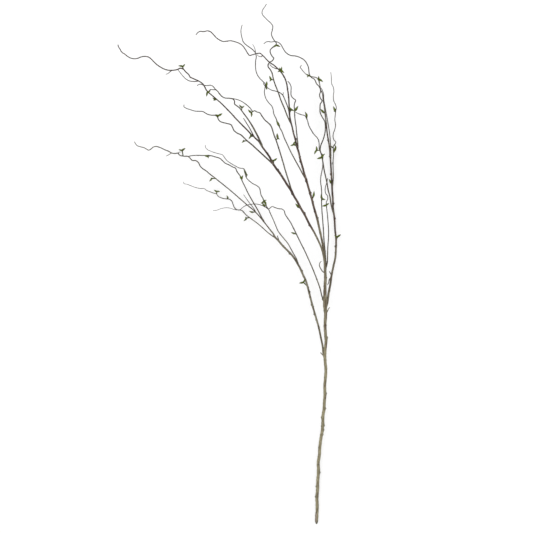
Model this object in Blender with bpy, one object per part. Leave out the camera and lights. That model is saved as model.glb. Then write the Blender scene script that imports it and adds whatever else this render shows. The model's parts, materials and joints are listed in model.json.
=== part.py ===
"""Leafy twig: a cut branch with a crown of wavy twigs and opening leaves, lying on a surface.

The branch lies in the XY plane with its cut end towards -Y and its crown towards +Y, and +Z is up from the
surface. It rests on three small flats: under the cut end, under the low left twig and under the right limb.
Every stem is a tube along a hand-traced route, and its leaves, spurs and bud scars are fused to it.
"""

import math
import random

import bmesh
import bpy
import numpy as np
from mathutils import Vector

# Driving dimensions, in metres
BRANCH_LENGTH = 1.168
TRUNK_DIAMETER = 0.0073
CUT_DIAMETER = 0.0028
LIMB_DIAMETER = 0.0050
TWIG_DIAMETER = 0.0029
TIP_DIAMETER = 0.0016
LEAF_THICKNESS = 0.0010
LEAF_WIDTH_LEAST = 0.0035
LEAF_WIDTH_MOST = 0.0056
STALK_DIAMETER = 0.0023
HUB_DIAMETER = 0.0033
SPUR_DIAMETER = 0.0028
SCAR_RADIUS = 0.0020
SCAR_SUNK = 0.0008
FORK_GAP = 0.00035

# A leaf is as wide as this share of its length and a little more, within the widths above
LEAF_WIDTH_SHARE = 0.40
LEAF_WIDTH_EXTRA = 0.0004
# A leaf's sections: the share of its length, the share of its width, and the rise of its arch as a share of
# its length
LEAF_SECTIONS = ((0.0, 0.34, 0.0), (0.3, 1.0, 0.06), (0.65, 0.72, 0.05))
# How far the edges fold up from the rib, as a share of half the width
LEAF_FOLD = 0.3
# How far a leaf may roll about its rib, in radians, and how steeply it may sink or rise along its length
LEAF_ROLL = 0.5
LEAF_RISE = (0.0, 0.4)
# How far a leaf starts inside the swollen end of its stalk, as a share of that end's diameter
LEAF_SUNK = 0.3
# How far the swollen end stands above the place where its stalk leaves the stem
SPROUT_LIFT = (0.0010, 0.0022)
# A spur rises by a share of its length, is at most a share of its stem's thickness, and tapers by a share
SPUR_RISE = 0.12
SPUR_OF_STEM = 0.8
SPUR_TAPER = 0.35
# How far a bud scar's direction leans up from level
SCAR_LEAN = 0.35
SMALL_SIDES = 4
SHARP_EDGE = math.radians(50)

# The routes are traced in the photograph's 533 x 533 frame, x to the right and y down, and scaled to size
MM = 0.001
PICTURE_TOP = 4.5
PICTURE_BOTTOM = 523.3
PICTURE_CENTRE = (229.0, 264.0)
PIXEL = BRANCH_LENGTH / (PICTURE_BOTTOM - PICTURE_TOP)

UP = np.array((0.0, 0.0, 1.0))
# The waves of a stem lift and lower it too: how long a wave is, and the shares of the stem where they start
# and where they are full
WAVE_LENGTH = 0.034
WAVES_FROM = 0.3
WAVES_FULL = 0.5

BARK_OLIVE = (0.23, 0.20, 0.11)
BARK_BROWN = (0.16, 0.11, 0.07)
BARK_PLUM = (0.13, 0.08, 0.07)
BARK_ROUGHNESS = 0.78

# Each stem: the stem it grows from and where, its route, (share of its length, height in mm) pairs that say
# how it rises and sinks, (share, diameter) pairs, how far its waves lift it in mm, its sides and its bark.
# The main stem is cut to a blunt point, so its first diameter is that of the point.
STEMS = {
    "main_stem": {
        "path": [
            (316.6, 523.7), (316.5, 521), (316.6, 518.5), (317, 512), (317.2, 505), (316.9, 498),
            (317.5, 490), (317.8, 480), (318.5, 470), (318.2, 463), (319.3, 455), (319.9, 446),
            (320.9, 438), (322.3, 430), (322.8, 423), (323, 415), (324, 409), (324.3, 402), (324.9, 394),
            (324.7, 386), (325.3, 378), (325.8, 370), (325.2, 362), (324.9, 356), (325.2, 348), (326, 340),
            (325.3, 332), (325, 324), (325.5, 314), (324.9, 306), (324.9, 298), (324.9, 288), (325.3, 278),
            (325, 268), (325.3, 260),
        ],
        "heights": [(0, 3.3), (0.06, 3.4), (0.3, 10), (0.6, 23), (0.8, 34), (1, 46)],
        "widths": [(0, CUT_DIAMETER), (0.01, TRUNK_DIAMETER), (0.3, 0.0070), (0.6, 0.0067), (0.68, 0.0066),
                   (0.79, 0.0070), (0.825, 0.0086), (0.86, 0.0084), (0.89, 0.0069), (1, 0.0057)],
        "sides": 8,
        "bark": BARK_OLIVE,
        "spurs": [
            [(324.6, 355.5), (322.4, 354.3), (320.3, 352)],
            [(325.6, 313.5), (327.2, 311.3), (328.2, 309), (329.6, 307)],
            [(325.2, 273), (323, 271.6), (320.6, 268.4), (319.3, 265), (320, 262.3), (321.3, 261)],
        ],
        "scars": [(327, 393), (325.8, 408), (321, 417), (324.5, 425), (324, 429), (320.8, 472), (315.3, 486),
                  (315.2, 496), (327.5, 337)],
    },
    "left_limb": {
        "grows_from": ("main_stem", (325, 359)),
        "path": [
            (323.3, 353), (322.6, 346), (321, 338), (318.7, 327.1), (315.6, 316.1), (312.9, 307),
            (311.3, 301.1), (309, 292), (306.9, 284), (305.2, 279), (303.3, 275.2), (300.3, 268.4),
            (297.5, 263.3), (295.7, 260.2), (292, 255), (287.6, 250.4), (282.6, 245.4), (278, 240),
            (275.1, 236.9), (273.4, 233.7), (270.3, 229.8), (265.5, 223.6), (261.4, 218.5), (256.3, 212.7),
            (252.2, 208.8), (248, 205.5), (244, 202), (238.1, 196.9), (231.1, 190.8), (225, 185.8),
            (219, 181), (214.2, 177.1), (210, 174), (206.1, 170.6), (202.7, 168.4), (200.2, 165.9),
            (198.5, 162.5), (196, 160.5), (192.1, 160.1), (190.3, 158.2), (188.6, 156.5), (184, 156),
            (179.6, 154.9), (178.1, 153.1), (175, 153.3), (171.7, 152.8), (169, 151.3), (164.9, 149.6),
            (160, 147.3), (156, 146.3), (153.1, 147.1), (151.1, 148.9), (148.7, 150), (146.6, 148.9),
            (144, 147.5), (140, 146.5), (137, 145.3), (135.3, 143), (134.5, 141.5),
        ],
        "heights": [(0.03, 19), (0.2, 21), (0.42, 20), (0.6, 17), (0.75, 13), (0.88, 15), (1, 28)],
        "widths": [(0, 0.0042), (0.15, 0.0044), (0.3, 0.0047), (0.42, 0.0043), (0.46, 0.0027),
                   (0.6, 0.0025), (0.85, 0.0025), (1, 0.0018)],
        "wave": 1.5,
        "sides": 6,
        "bark": BARK_OLIVE,
        "spurs": [
            [(279.2, 241.2), (278.2, 238.3), (277.3, 235.3)],
            [(171.5, 153), (169.4, 154.2), (168, 155), (166, 156)],
            [(178, 153.3), (179.2, 152), (181, 151.8)],
            [(213.2, 176.7), (212.2, 176), (211.2, 175.3)],
            [(255.6, 212.8), (254.6, 209.6), (253, 207.2), (250, 203.4), (246.5, 198.6), (243.5, 194.3)],
        ],
        "scars": [(313.8, 314), (310.6, 304.3), (310.5, 291), (303.6, 270), (289, 253.6)],
    },
    "left_low_twig": {
        "grows_from": ("left_limb", (276, 238)),
        "path": [
            (270.3, 234.3), (265.3, 230), (260.3, 225.5), (256.1, 222.1), (252.2, 219.3), (249.2, 217.1),
            (246.7, 215.2), (244.3, 212.7), (242.1, 210.4), (240, 209.8), (237, 209.5), (234.5, 207.5),
            (233, 204), (231.8, 200.9), (229.6, 199.1), (226, 198.6), (221.2, 197.6), (218.1, 195.9),
            (216.4, 193.6), (214, 193), (210, 191.5), (206.1, 189.9), (204.5, 188.5), (201, 188.3),
            (197.1, 187.7), (192.1, 186), (187, 184), (183.8, 183.1), (183.8, 181.5),
        ],
        "heights": [(0.12, 15), (0.32, 6), (0.5, 0.76), (0.62, 2.6), (0.85, 8), (1, 18)],
        "widths": [(0, 0.0023), (0.3, 0.0022), (0.6, 0.0019), (0.8, 0.0014), (1, 0.0012)],
        "wave": 0.0,
        "sides": 5,
        "bark": BARK_BROWN,
    },
    "left_middle_twig": {
        "grows_from": ("left_limb", (264, 222.3)),
        "path": [
            (260.7, 215.4), (258.3, 210.8), (255.4, 205.8), (252, 200), (248.3, 193.4), (244.6, 185.7),
            (242, 180.4), (240, 175.5), (238.2, 173.2), (236.7, 170.7), (235.5, 168), (233, 167),
            (229.1, 164.8), (225.2, 163), (222.6, 160.6), (220, 158.3), (216, 157), (211, 155.6),
            (204, 155.4), (195, 155.3), (191, 155.7), (188.5, 156.3),
        ],
        "heights": [(0.06, 24), (0.3, 32), (0.55, 30), (0.8, 34), (1, 30)],
        "widths": [(0, TWIG_DIAMETER), (0.3, 0.0024), (0.8, 0.0023), (1, 0.0020)],
        "wave": 1.2,
        "sides": 5,
        "bark": BARK_BROWN,
    },
    "left_inner_twig": {
        "grows_from": ("left_limb", (298.6, 264.5)),
        "path": [
            (296.4, 258.5), (293.8, 254), (290.8, 248.5), (288, 243.5), (284.1, 238.6), (280.2, 233.9),
            (278.1, 230.9), (275.7, 225.4), (273, 219), (270, 212.5), (268.5, 209), (267, 207),
            (264, 200.5), (262.7, 197.9), (260.9, 194.4), (260.3, 191), (259.5, 188), (257, 185.7),
            (252.5, 183.3), (249, 180.5), (246.5, 177.7), (245.5, 175.5), (245.1, 170.7), (243.1, 168.5),
            (240, 168.1), (235.5, 166), (231.1, 163.4), (227, 160.5), (224.6, 157.6), (222.5, 154.8),
            (219, 153.8), (215, 152.7), (211.1, 151.3), (207.6, 149.6), (205.7, 147.5), (205.5, 145),
        ],
        "heights": [(0.04, 25), (0.3, 34), (0.6, 42), (0.85, 52), (1, 62)],
        "widths": [(0, 0.0025), (0.3, 0.0021), (0.45, 0.0023), (0.6, 0.0020), (1, 0.0012)],
        "wave": 1.5,
        "sides": 5,
        "bark": BARK_BROWN,
    },
    "left_arching_twig": {
        "grows_from": ("main_stem", (325.2, 304)),
        "path": [
            (322.5, 298), (321.5, 294.6), (320.2, 289.1), (317.2, 280.3), (313.3, 270.3), (309, 260.3),
            (304.8, 251.1), (299.6, 240.7), (296, 233.2), (293.5, 228.3), (290.7, 222.7), (287.7, 218.2),
            (285.1, 214.1), (284, 210.5), (282, 209), (279, 208.7), (275, 207.5), (272, 206.5), (270, 208),
            (268.5, 209), (266, 207.3), (261.9, 205.4), (257, 204), (251, 204.2), (247, 205),
            (242.8, 207.2), (240, 209.5), (237, 209.8), (234, 209.3), (230.9, 208.2), (226, 207.6),
            (221, 208.5), (217, 210), (213, 210.5),
        ],
        "heights": [(0.06, 40), (0.35, 58), (0.6, 62), (0.8, 50), (1, 34)],
        "widths": [(0, TWIG_DIAMETER), (0.3, 0.0025), (0.45, 0.0026), (0.6, 0.0020), (1, 0.0011)],
        "wave": 1.8,
        "sides": 5,
        "bark": BARK_BROWN,
    },
    "long_limb": {
        "grows_from": ("main_stem", (325.2, 275)),
        "path": [
            (324.5, 266), (323.6, 257), (321, 247), (317.4, 238.8), (313.3, 230.9), (308.8, 223.1),
            (304.4, 214.3), (300.5, 207.8), (297.8, 202.6), (293.7, 195.7), (290, 189), (287.7, 185.8),
            (284.1, 179.9), (279.7, 173.2), (274.8, 166.6), (271.5, 161), (269.5, 157), (265.7, 151.7),
            (261.7, 146.2), (259.4, 142.3), (255, 138), (253.1, 135.9), (251, 134.5), (249.4, 132.6),
            (244, 127), (238, 121), (230.8, 113.2), (224.9, 107.1), (219, 101.5), (216, 99), (212.5, 96),
            (209.5, 93.5), (206.8, 90.8), (205, 87.5), (203.5, 84.8), (201.5, 83), (198.9, 81.4), (196, 80),
            (192.5, 78.5), (190.5, 77.5), (189, 75), (185.9, 72.1), (183.5, 69.5), (180.1, 68.6),
            (178.1, 69.6), (172, 70.6), (169, 70.5), (164.9, 69.5), (161, 67.5), (158, 65.5), (155.2, 63.1),
            (152.6, 60.4), (150, 58), (147.9, 57), (145, 56.6), (141.1, 57.3), (138.2, 58.5), (135, 59),
            (131, 58.3), (128, 56.7), (125, 54.3), (122.1, 52.4), (120.3, 49.3), (118.8, 46.9),
            (118.3, 44.9),
        ],
        "heights": [(0.027, 48.5), (0.054, 52.5), (0.2, 72), (0.42, 92), (0.6, 88), (0.8, 66), (0.92, 56),
                    (1, 64)],
        "widths": [(0, 0.0036), (0.1, 0.0042), (0.2, LIMB_DIAMETER), (0.38, 0.0050), (0.44, 0.0038),
                   (0.55, 0.0030), (0.8, 0.0027), (1, 0.0022)],
        "wave": 1.8,
        "sides": 6,
        "bark": BARK_PLUM,
        "spurs": [
            [(199, 81.3), (195, 81.8), (189, 81), (186, 79.2), (183, 76.2), (180, 72.5), (178, 69.2)],
            [(172, 70.3), (170, 72.3), (168, 74), (166, 74.5)],
            [(254.6, 137.6), (252.4, 133.6), (250, 129), (246, 122.5), (243.5, 118.5)],
        ],
        "scars": [(308.8, 225), (305.6, 212), (291.3, 194), (278.7, 169)],
    },
    "long_limb_upper_twig": {
        "grows_from": ("long_limb", (262.4, 146.6)),
        "path": [
            (259.3, 139.6), (256.5, 134), (253, 127.5), (249, 121), (243.5, 113.5), (241.4, 110.6),
            (240.1, 108.9), (237.4, 106.6), (234.8, 104.6), (234.6, 101.4), (233, 99.6), (230, 98.9),
            (225, 98.5), (222.5, 97.3), (220, 94.5), (218, 92), (215.5, 89.7), (213.4, 87.1), (210.8, 85.8),
            (208, 86.1), (204.4, 86), (201, 84.8), (199.2, 85.1), (197.3, 86.2),
        ],
        "heights": [(0.08, 97), (0.3, 110), (0.6, 118), (1, 106)],
        "widths": [(0, 0.0041), (0.2, 0.0039), (0.3, 0.0029), (0.6, 0.0025), (1, 0.0018)],
        "wave": 1.6,
        "sides": 5,
        "bark": BARK_BROWN,
    },
    "long_limb_inner_twig": {
        "grows_from": ("long_limb", (293.3, 194.3)),
        "path": [
            (290.5, 187.5), (288.9, 182), (287, 176), (285.1, 170), (283.4, 163.9), (280.7, 154.9),
            (277.9, 146), (275.6, 139.2), (273.9, 135), (271.8, 128.1), (270.9, 126.1), (268, 123),
            (264.8, 120.2), (261.8, 116.1), (259.9, 113.2), (256.9, 112.3), (254.5, 111.1), (253, 111.7),
            (250.4, 108.6), (245.9, 104.6), (240.8, 101.3), (235.9, 99.6), (230, 98.7), (225, 98.3),
            (220, 95), (216.5, 90.5), (213, 90.2), (210.5, 90), (209, 91.5),
        ],
        "heights": [(0.06, 76), (0.3, 84), (0.6, 92), (0.8, 95), (1, 98)],
        "widths": [(0, 0.0038), (0.15, 0.0030), (0.45, 0.0029), (0.6, 0.0024), (0.75, 0.0019),
                   (1, 0.0018)],
        "wave": 1.6,
        "sides": 5,
        "bark": BARK_PLUM,
    },
    "long_limb_lower_twig": {
        "grows_from": ("long_limb", (273.6, 164.4)),
        "path": [
            (267.9, 159.5), (262.7, 154.7), (257.7, 150.1), (251.8, 144.7), (247, 140.7), (244.1, 137.9),
            (241, 135), (237, 133), (234, 130.5), (232.6, 127.4), (231, 124.7), (227.9, 123.7),
            (223, 122.5), (220, 121.3), (218.3, 119), (217.5, 117), (215.5, 115.4), (212, 115.2),
            (208, 114.3), (205.5, 113), (203, 111.5), (200, 111.3), (195, 111), (190, 109.5),
            (186.1, 108.1), (184, 106.5), (184.2, 104.5),
        ],
        "heights": [(0.08, 82), (0.3, 66), (0.6, 44), (0.85, 30), (1, 38)],
        "widths": [(0, 0.0036), (0.3, 0.0031), (0.45, 0.0026), (0.7, 0.0024), (1, 0.0017)],
        "wave": 1.5,
        "sides": 5,
        "bark": BARK_PLUM,
    },
    "centre_limb": {
        "grows_from": ("main_stem", (325.2, 262)),
        "path": [
            (324.6, 256), (324, 252), (322.7, 245), (321.2, 237.1), (319.4, 229.1), (317.2, 219.2),
            (315.2, 212.1), (313.2, 205.1), (312, 200), (310.5, 195), (308.2, 187.1), (305.9, 179),
            (304, 173), (302.4, 166.9), (300.3, 159.9), (298.5, 152), (296.9, 147), (296, 143),
            (294.8, 138), (293.6, 134.1), (292, 127), (290.5, 121), (289.6, 116), (289.5, 112), (289, 105),
            (288.5, 97), (287.5, 90), (286.3, 83.1), (284.5, 78.2), (280.6, 72.3), (276.7, 68.3),
            (273.7, 65.7), (269.9, 63.2), (266.7, 60.3), (264.1, 57.4), (262, 55.5), (260.3, 54),
            (258.1, 54), (256.1, 54.4), (252.2, 55.5), (249.6, 56.1), (247.8, 53.9), (245.2, 49.7),
            (242.8, 46.5), (238.7, 43.7), (234.8, 42.3), (230, 41.4), (227.1, 41.8), (223.4, 42.1),
            (219.9, 40.7), (215.8, 37.7), (213, 34.5), (210.4, 32.2), (208.3, 31.5), (204, 32.2),
            (199.8, 32.1), (197.6, 33.6), (196.1, 35.5),
        ],
        "heights": [(0.03, 48.5), (0.2, 62), (0.4, 80), (0.6, 98), (0.72, 104), (0.85, 98), (1, 84)],
        "widths": [(0, 0.0046), (0.1, LIMB_DIAMETER), (0.2, LIMB_DIAMETER), (0.4, 0.0044), (0.45, 0.0036),
                   (0.62, 0.0032), (0.74, 0.0025), (0.82, 0.0022), (0.95, 0.0024), (1, 0.0020)],
        "wave": 1.8,
        "sides": 6,
        "bark": BARK_PLUM,
        "spurs": [
            [(278, 68.9), (276, 69.3), (274.3, 68.6), (271.8, 67.3), (269.5, 64.8)],
            [(263, 55.6), (261.6, 57.2), (259, 57), (257, 55.2)],
        ],
        "scars": [(318.8, 217), (311.9, 192), (304.8, 181), (299, 162), (296.6, 139)],
    },
    "centre_tall_twig": {
        "grows_from": ("centre_limb", (291.2, 124)),
        "path": [
            (288, 118), (284, 108), (280.8, 100.6), (278.9, 95), (277.1, 90.1), (274.7, 84.1),
            (273.2, 79.1), (272.1, 74.1), (270.3, 70.4), (268.1, 67.4), (268.3, 65), (270, 63),
            (272.6, 61.2), (273.7, 59), (272.3, 57.3), (270.5, 54.2), (270.2, 51), (271.2, 49.6),
            (273.8, 47.3), (276.4, 44.5), (274.7, 42), (272.6, 38.7), (271.4, 35), (272.3, 31), (272.7, 27),
            (271.4, 24.8), (268.5, 22), (265, 18.5), (262.4, 15.3), (262.2, 12.1), (263.2, 9.9), (265, 7.4),
            (266.6, 4.9),
        ],
        "heights": [(0.06, 90), (0.25, 112), (0.5, 126), (0.75, 122), (1, 108)],
        "widths": [(0, 0.0031), (0.4, 0.0028), (0.6, 0.0024), (0.75, 0.0021), (1, TIP_DIAMETER)],
        "wave": 1.8,
        "sides": 5,
        "bark": BARK_BROWN,
    },
    "centre_left_twig": {
        "grows_from": ("centre_limb", (306, 179)),
        "path": [
            (303, 174.6), (299.8, 168.7), (296, 161.8), (291, 152.5), (287, 144), (284, 137.5), (282, 132),
            (278.8, 126.1), (276.2, 119.1), (273.8, 114.1), (273, 109.5), (271.5, 106), (268.8, 103.1),
            (266, 99), (264.7, 95), (264.4, 92), (265, 88), (264.9, 84), (262.3, 81.2), (259.3, 78.1),
            (256.9, 74.1), (255.8, 70), (255.5, 66), (255.7, 61), (256.3, 57), (255.2, 53), (252.8, 50.2),
            (249.8, 47.8), (245.8, 44.9), (243.3, 42.1), (242.3, 39), (241.3, 35), (241, 31), (241.5, 28),
            (242.3, 25),
        ],
        "heights": [(0.05, 63), (0.3, 66), (0.55, 74), (0.75, 74), (1, 60)],
        "widths": [(0, 0.0031), (0.15, 0.0026), (0.35, 0.0023), (0.55, 0.0019), (0.75, 0.0021),
                   (0.85, 0.0022), (1, TIP_DIAMETER)],
        "wave": 1.7,
        "sides": 5,
        "bark": BARK_PLUM,
        "spurs": [
            [(255.6, 54.2), (255.3, 50.6), (254, 47), (252.5, 44.5)],
        ],
    },
    "centre_short_twig": {
        "grows_from": ("centre_limb", (289.9, 117)),
        "path": [
            (288.2, 109), (286.3, 103.6), (284.2, 98.6), (282.8, 95.6), (280, 93.2), (277, 91.9),
            (271.9, 90.6), (267.4, 88.1), (265, 86.3), (263.7, 84.5), (263.5, 83),
        ],
        "heights": [(0.16, 84), (0.5, 86), (0.8, 84), (1, 82)],
        "widths": [(0, 0.0028), (0.4, 0.0024), (1, TIP_DIAMETER)],
        "wave": 0.8,
        "sides": 5,
        "bark": BARK_BROWN,
        "spurs": [
            [(283, 95.5), (283.1, 94.2), (283.4, 92.6)],
        ],
    },
    "centre_right_twig": {
        "grows_from": ("centre_limb", (297.6, 150)),
        "path": [
            (297.7, 143), (297.1, 138), (296.5, 133), (296, 127), (295, 120), (294.5, 113), (294.5, 110),
            (294.1, 106), (294.8, 102.9), (295.5, 100.5), (293.2, 98.6), (291.2, 96), (290.9, 92),
            (291, 87), (289.5, 83.5), (287.6, 81.2),
        ],
        "heights": [(0.1, 74), (0.4, 70), (0.7, 66), (1, 62)],
        "widths": [(0, 0.0027), (0.5, 0.0024), (1, 0.0020)],
        "wave": 1.2,
        "sides": 5,
        "bark": BARK_BROWN,
    },
    "inner_left_twig": {
        "grows_from": ("main_stem", (325.2, 274)),
        "path": [
            (325.6, 266), (325.5, 257), (324.6, 247), (323.9, 240), (323.3, 230), (322.6, 220),
            (321.8, 210), (321.4, 200), (321.5, 194), (321.3, 188), (320.5, 182), (320.8, 176), (322, 170),
            (322.7, 166), (322.5, 161), (322.5, 155), (320.5, 152.5), (319.2, 149), (319, 144),
            (318.4, 140.1), (316.8, 137.6), (313.7, 134.2), (310.6, 129.3), (308.7, 125.6), (307.5, 121),
            (306.2, 118.2), (304.8, 115.8), (301.9, 115), (298.9, 114), (295.3, 112.2),
        ],
        "heights": [(0.046, 38.4), (0.098, 38.5), (0.2, 42), (0.35, 47), (0.6, 54), (0.8, 60), (1, 56)],
        "widths": [(0, TWIG_DIAMETER), (0.4, 0.0024), (0.6, 0.0021), (0.85, 0.0022), (1, 0.0018)],
        "wave": 1.2,
        "sides": 5,
        "bark": BARK_PLUM,
    },
    "inner_long_twig": {
        "grows_from": ("right_limb", (334, 214)),
        "path": [
            (331.2, 205), (329.8, 196), (328.2, 190.1), (327, 183), (325.7, 177), (324.3, 171),
            (323.5, 166), (322.7, 161), (321.6, 155), (320.1, 150), (320.7, 145.5), (323.2, 139.2),
            (325, 132), (325.3, 127), (324.5, 121), (322.1, 116.9), (320.2, 112.9), (319.9, 108),
            (320.4, 103.6), (322, 101), (320.2, 98), (319.5, 95), (320.5, 91), (319, 86.5), (316.3, 83.6),
            (315.3, 81), (314, 79), (312, 78), (309.5, 75), (308.8, 71), (308.3, 67.5), (306.7, 63.7),
            (304.2, 60.3), (300.9, 58.2), (297.9, 56.9), (295, 56.2), (291, 55.8), (288, 54.5),
            (285.5, 52.5), (283.1, 48.9), (280.5, 44.5), (277.9, 42.6), (275, 41.9), (271, 42.4),
            (268, 41.9), (265.3, 42.9), (263.8, 44.3),
        ],
        "heights": [(0.05, 8), (0.2, 18), (0.45, 30), (0.65, 42), (0.85, 60), (1, 74)],
        "widths": [(0, 0.0031), (0.3, 0.0028), (0.6, 0.0024), (0.85, 0.0023), (1, 0.0017)],
        "wave": 1.6,
        "sides": 5,
        "bark": BARK_PLUM,
    },
    "inner_short_twig": {
        "grows_from": ("main_stem", (325.2, 270)),
        "path": [
            (327.2, 262), (327.4, 257), (327.5, 252), (327.8, 245), (328.3, 238), (328.4, 230),
            (327.9, 222), (327.3, 215), (326.6, 209), (326.3, 205.5), (326.2, 201.9), (327.5, 199),
            (327.4, 196), (325.7, 193.6), (324.9, 190), (325.5, 186), (326.8, 182), (327.5, 178),
        ],
        "heights": [(0.08, 46.5), (0.3, 58), (0.7, 66), (1, 74)],
        "widths": [(0, TWIG_DIAMETER), (0.4, 0.0024), (1, TIP_DIAMETER)],
        "wave": 1.0,
        "sides": 5,
        "bark": BARK_PLUM,
    },
    "right_limb": {
        "grows_from": ("main_stem", (325.2, 309)),
        "path": [
            (327.6, 299), (328.9, 290.9), (330.3, 284), (331.2, 277), (332.3, 271.1), (333.8, 264),
            (335, 259), (335.7, 252), (336, 245), (336, 238), (335.3, 232), (334.8, 224), (334.2, 216),
            (333.1, 208), (332.9, 200), (332.2, 190), (331.7, 180), (331.1, 170), (330.5, 160),
            (329.7, 150), (328.7, 142), (327.2, 133), (326.1, 122), (325, 113), (324.2, 106), (323, 99),
            (322.5, 94), (320.8, 90), (320, 86), (318.8, 81.1), (317, 78), (314, 77), (311, 76.5),
            (307, 75), (304.1, 72.4), (301.7, 69.4), (300.2, 67), (301.7, 65.1),
        ],
        "heights": [(0.05, 31), (0.15, 21), (0.3, 7.5), (0.4, 1.9), (0.5, 3.4), (0.7, 13), (0.85, 24),
                    (1, 34)],
        "widths": [(0, 0.0056), (0.08, 0.0051), (0.15, 0.0047), (0.35, 0.0042), (0.5, 0.0042),
                   (0.65, 0.0034), (0.75, 0.0032), (0.85, 0.0024), (1, TIP_DIAMETER)],
        "wave": 0.0,
        "sides": 6,
        "bark": BARK_PLUM,
        "spurs": [
            [(331.2, 275), (330.2, 272.8), (329.3, 270.9)],
            [(330.8, 276.5), (329.2, 279.3), (328.6, 282.4), (327.4, 284.8)],
        ],
        "scars": [(334.6, 246), (335.6, 218), (334, 203), (330.9, 174), (329.4, 156), (327, 140)],
    },
    "right_limb_strand": {
        "grows_from": ("right_limb", (330.6, 161)),
        "path": [
            (330.8, 151), (330.3, 142), (329.6, 134), (328.1, 124), (326.7, 116), (324.9, 106), (323.7, 99),
            (323.5, 94), (322.3, 90.5), (321.2, 88),
        ],
        "heights": [(0.12, 13), (0.22, 18), (0.55, 27), (1, 40)],
        "widths": [(0, 0.0025), (0.5, 0.0021), (1, TIP_DIAMETER)],
        "wave": 0.6,
        "sides": 5,
        "bark": BARK_BROWN,
    },
    "right_outer_twig": {
        "grows_from": ("right_limb", (332, 188)),
        "path": [
            (333.3, 178), (333.1, 168), (333.1, 160), (333.5, 155), (333.3, 148), (333.6, 145.4),
            (335.3, 143.4), (335.8, 142), (334, 140), (333, 136), (333.4, 133), (334.8, 129), (335.5, 125),
            (334.8, 120), (335.2, 115), (335.8, 110), (336.3, 108), (335.5, 104.6), (333.8, 101.1),
            (333.3, 96), (333.8, 91), (333.2, 87.1), (331.7, 84.1), (331.3, 78), (330.7, 72),
        ],
        "heights": [(0.09, 7), (0.3, 11), (0.6, 20), (1, 34)],
        "widths": [(0, 0.0026), (0.3, 0.0020), (0.6, 0.0019), (0.8, 0.0017), (1, 0.0013)],
        "wave": 1.2,
        "sides": 5,
        "bark": BARK_BROWN,
        "scars": [(332.4, 163)],
    },
}

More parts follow.
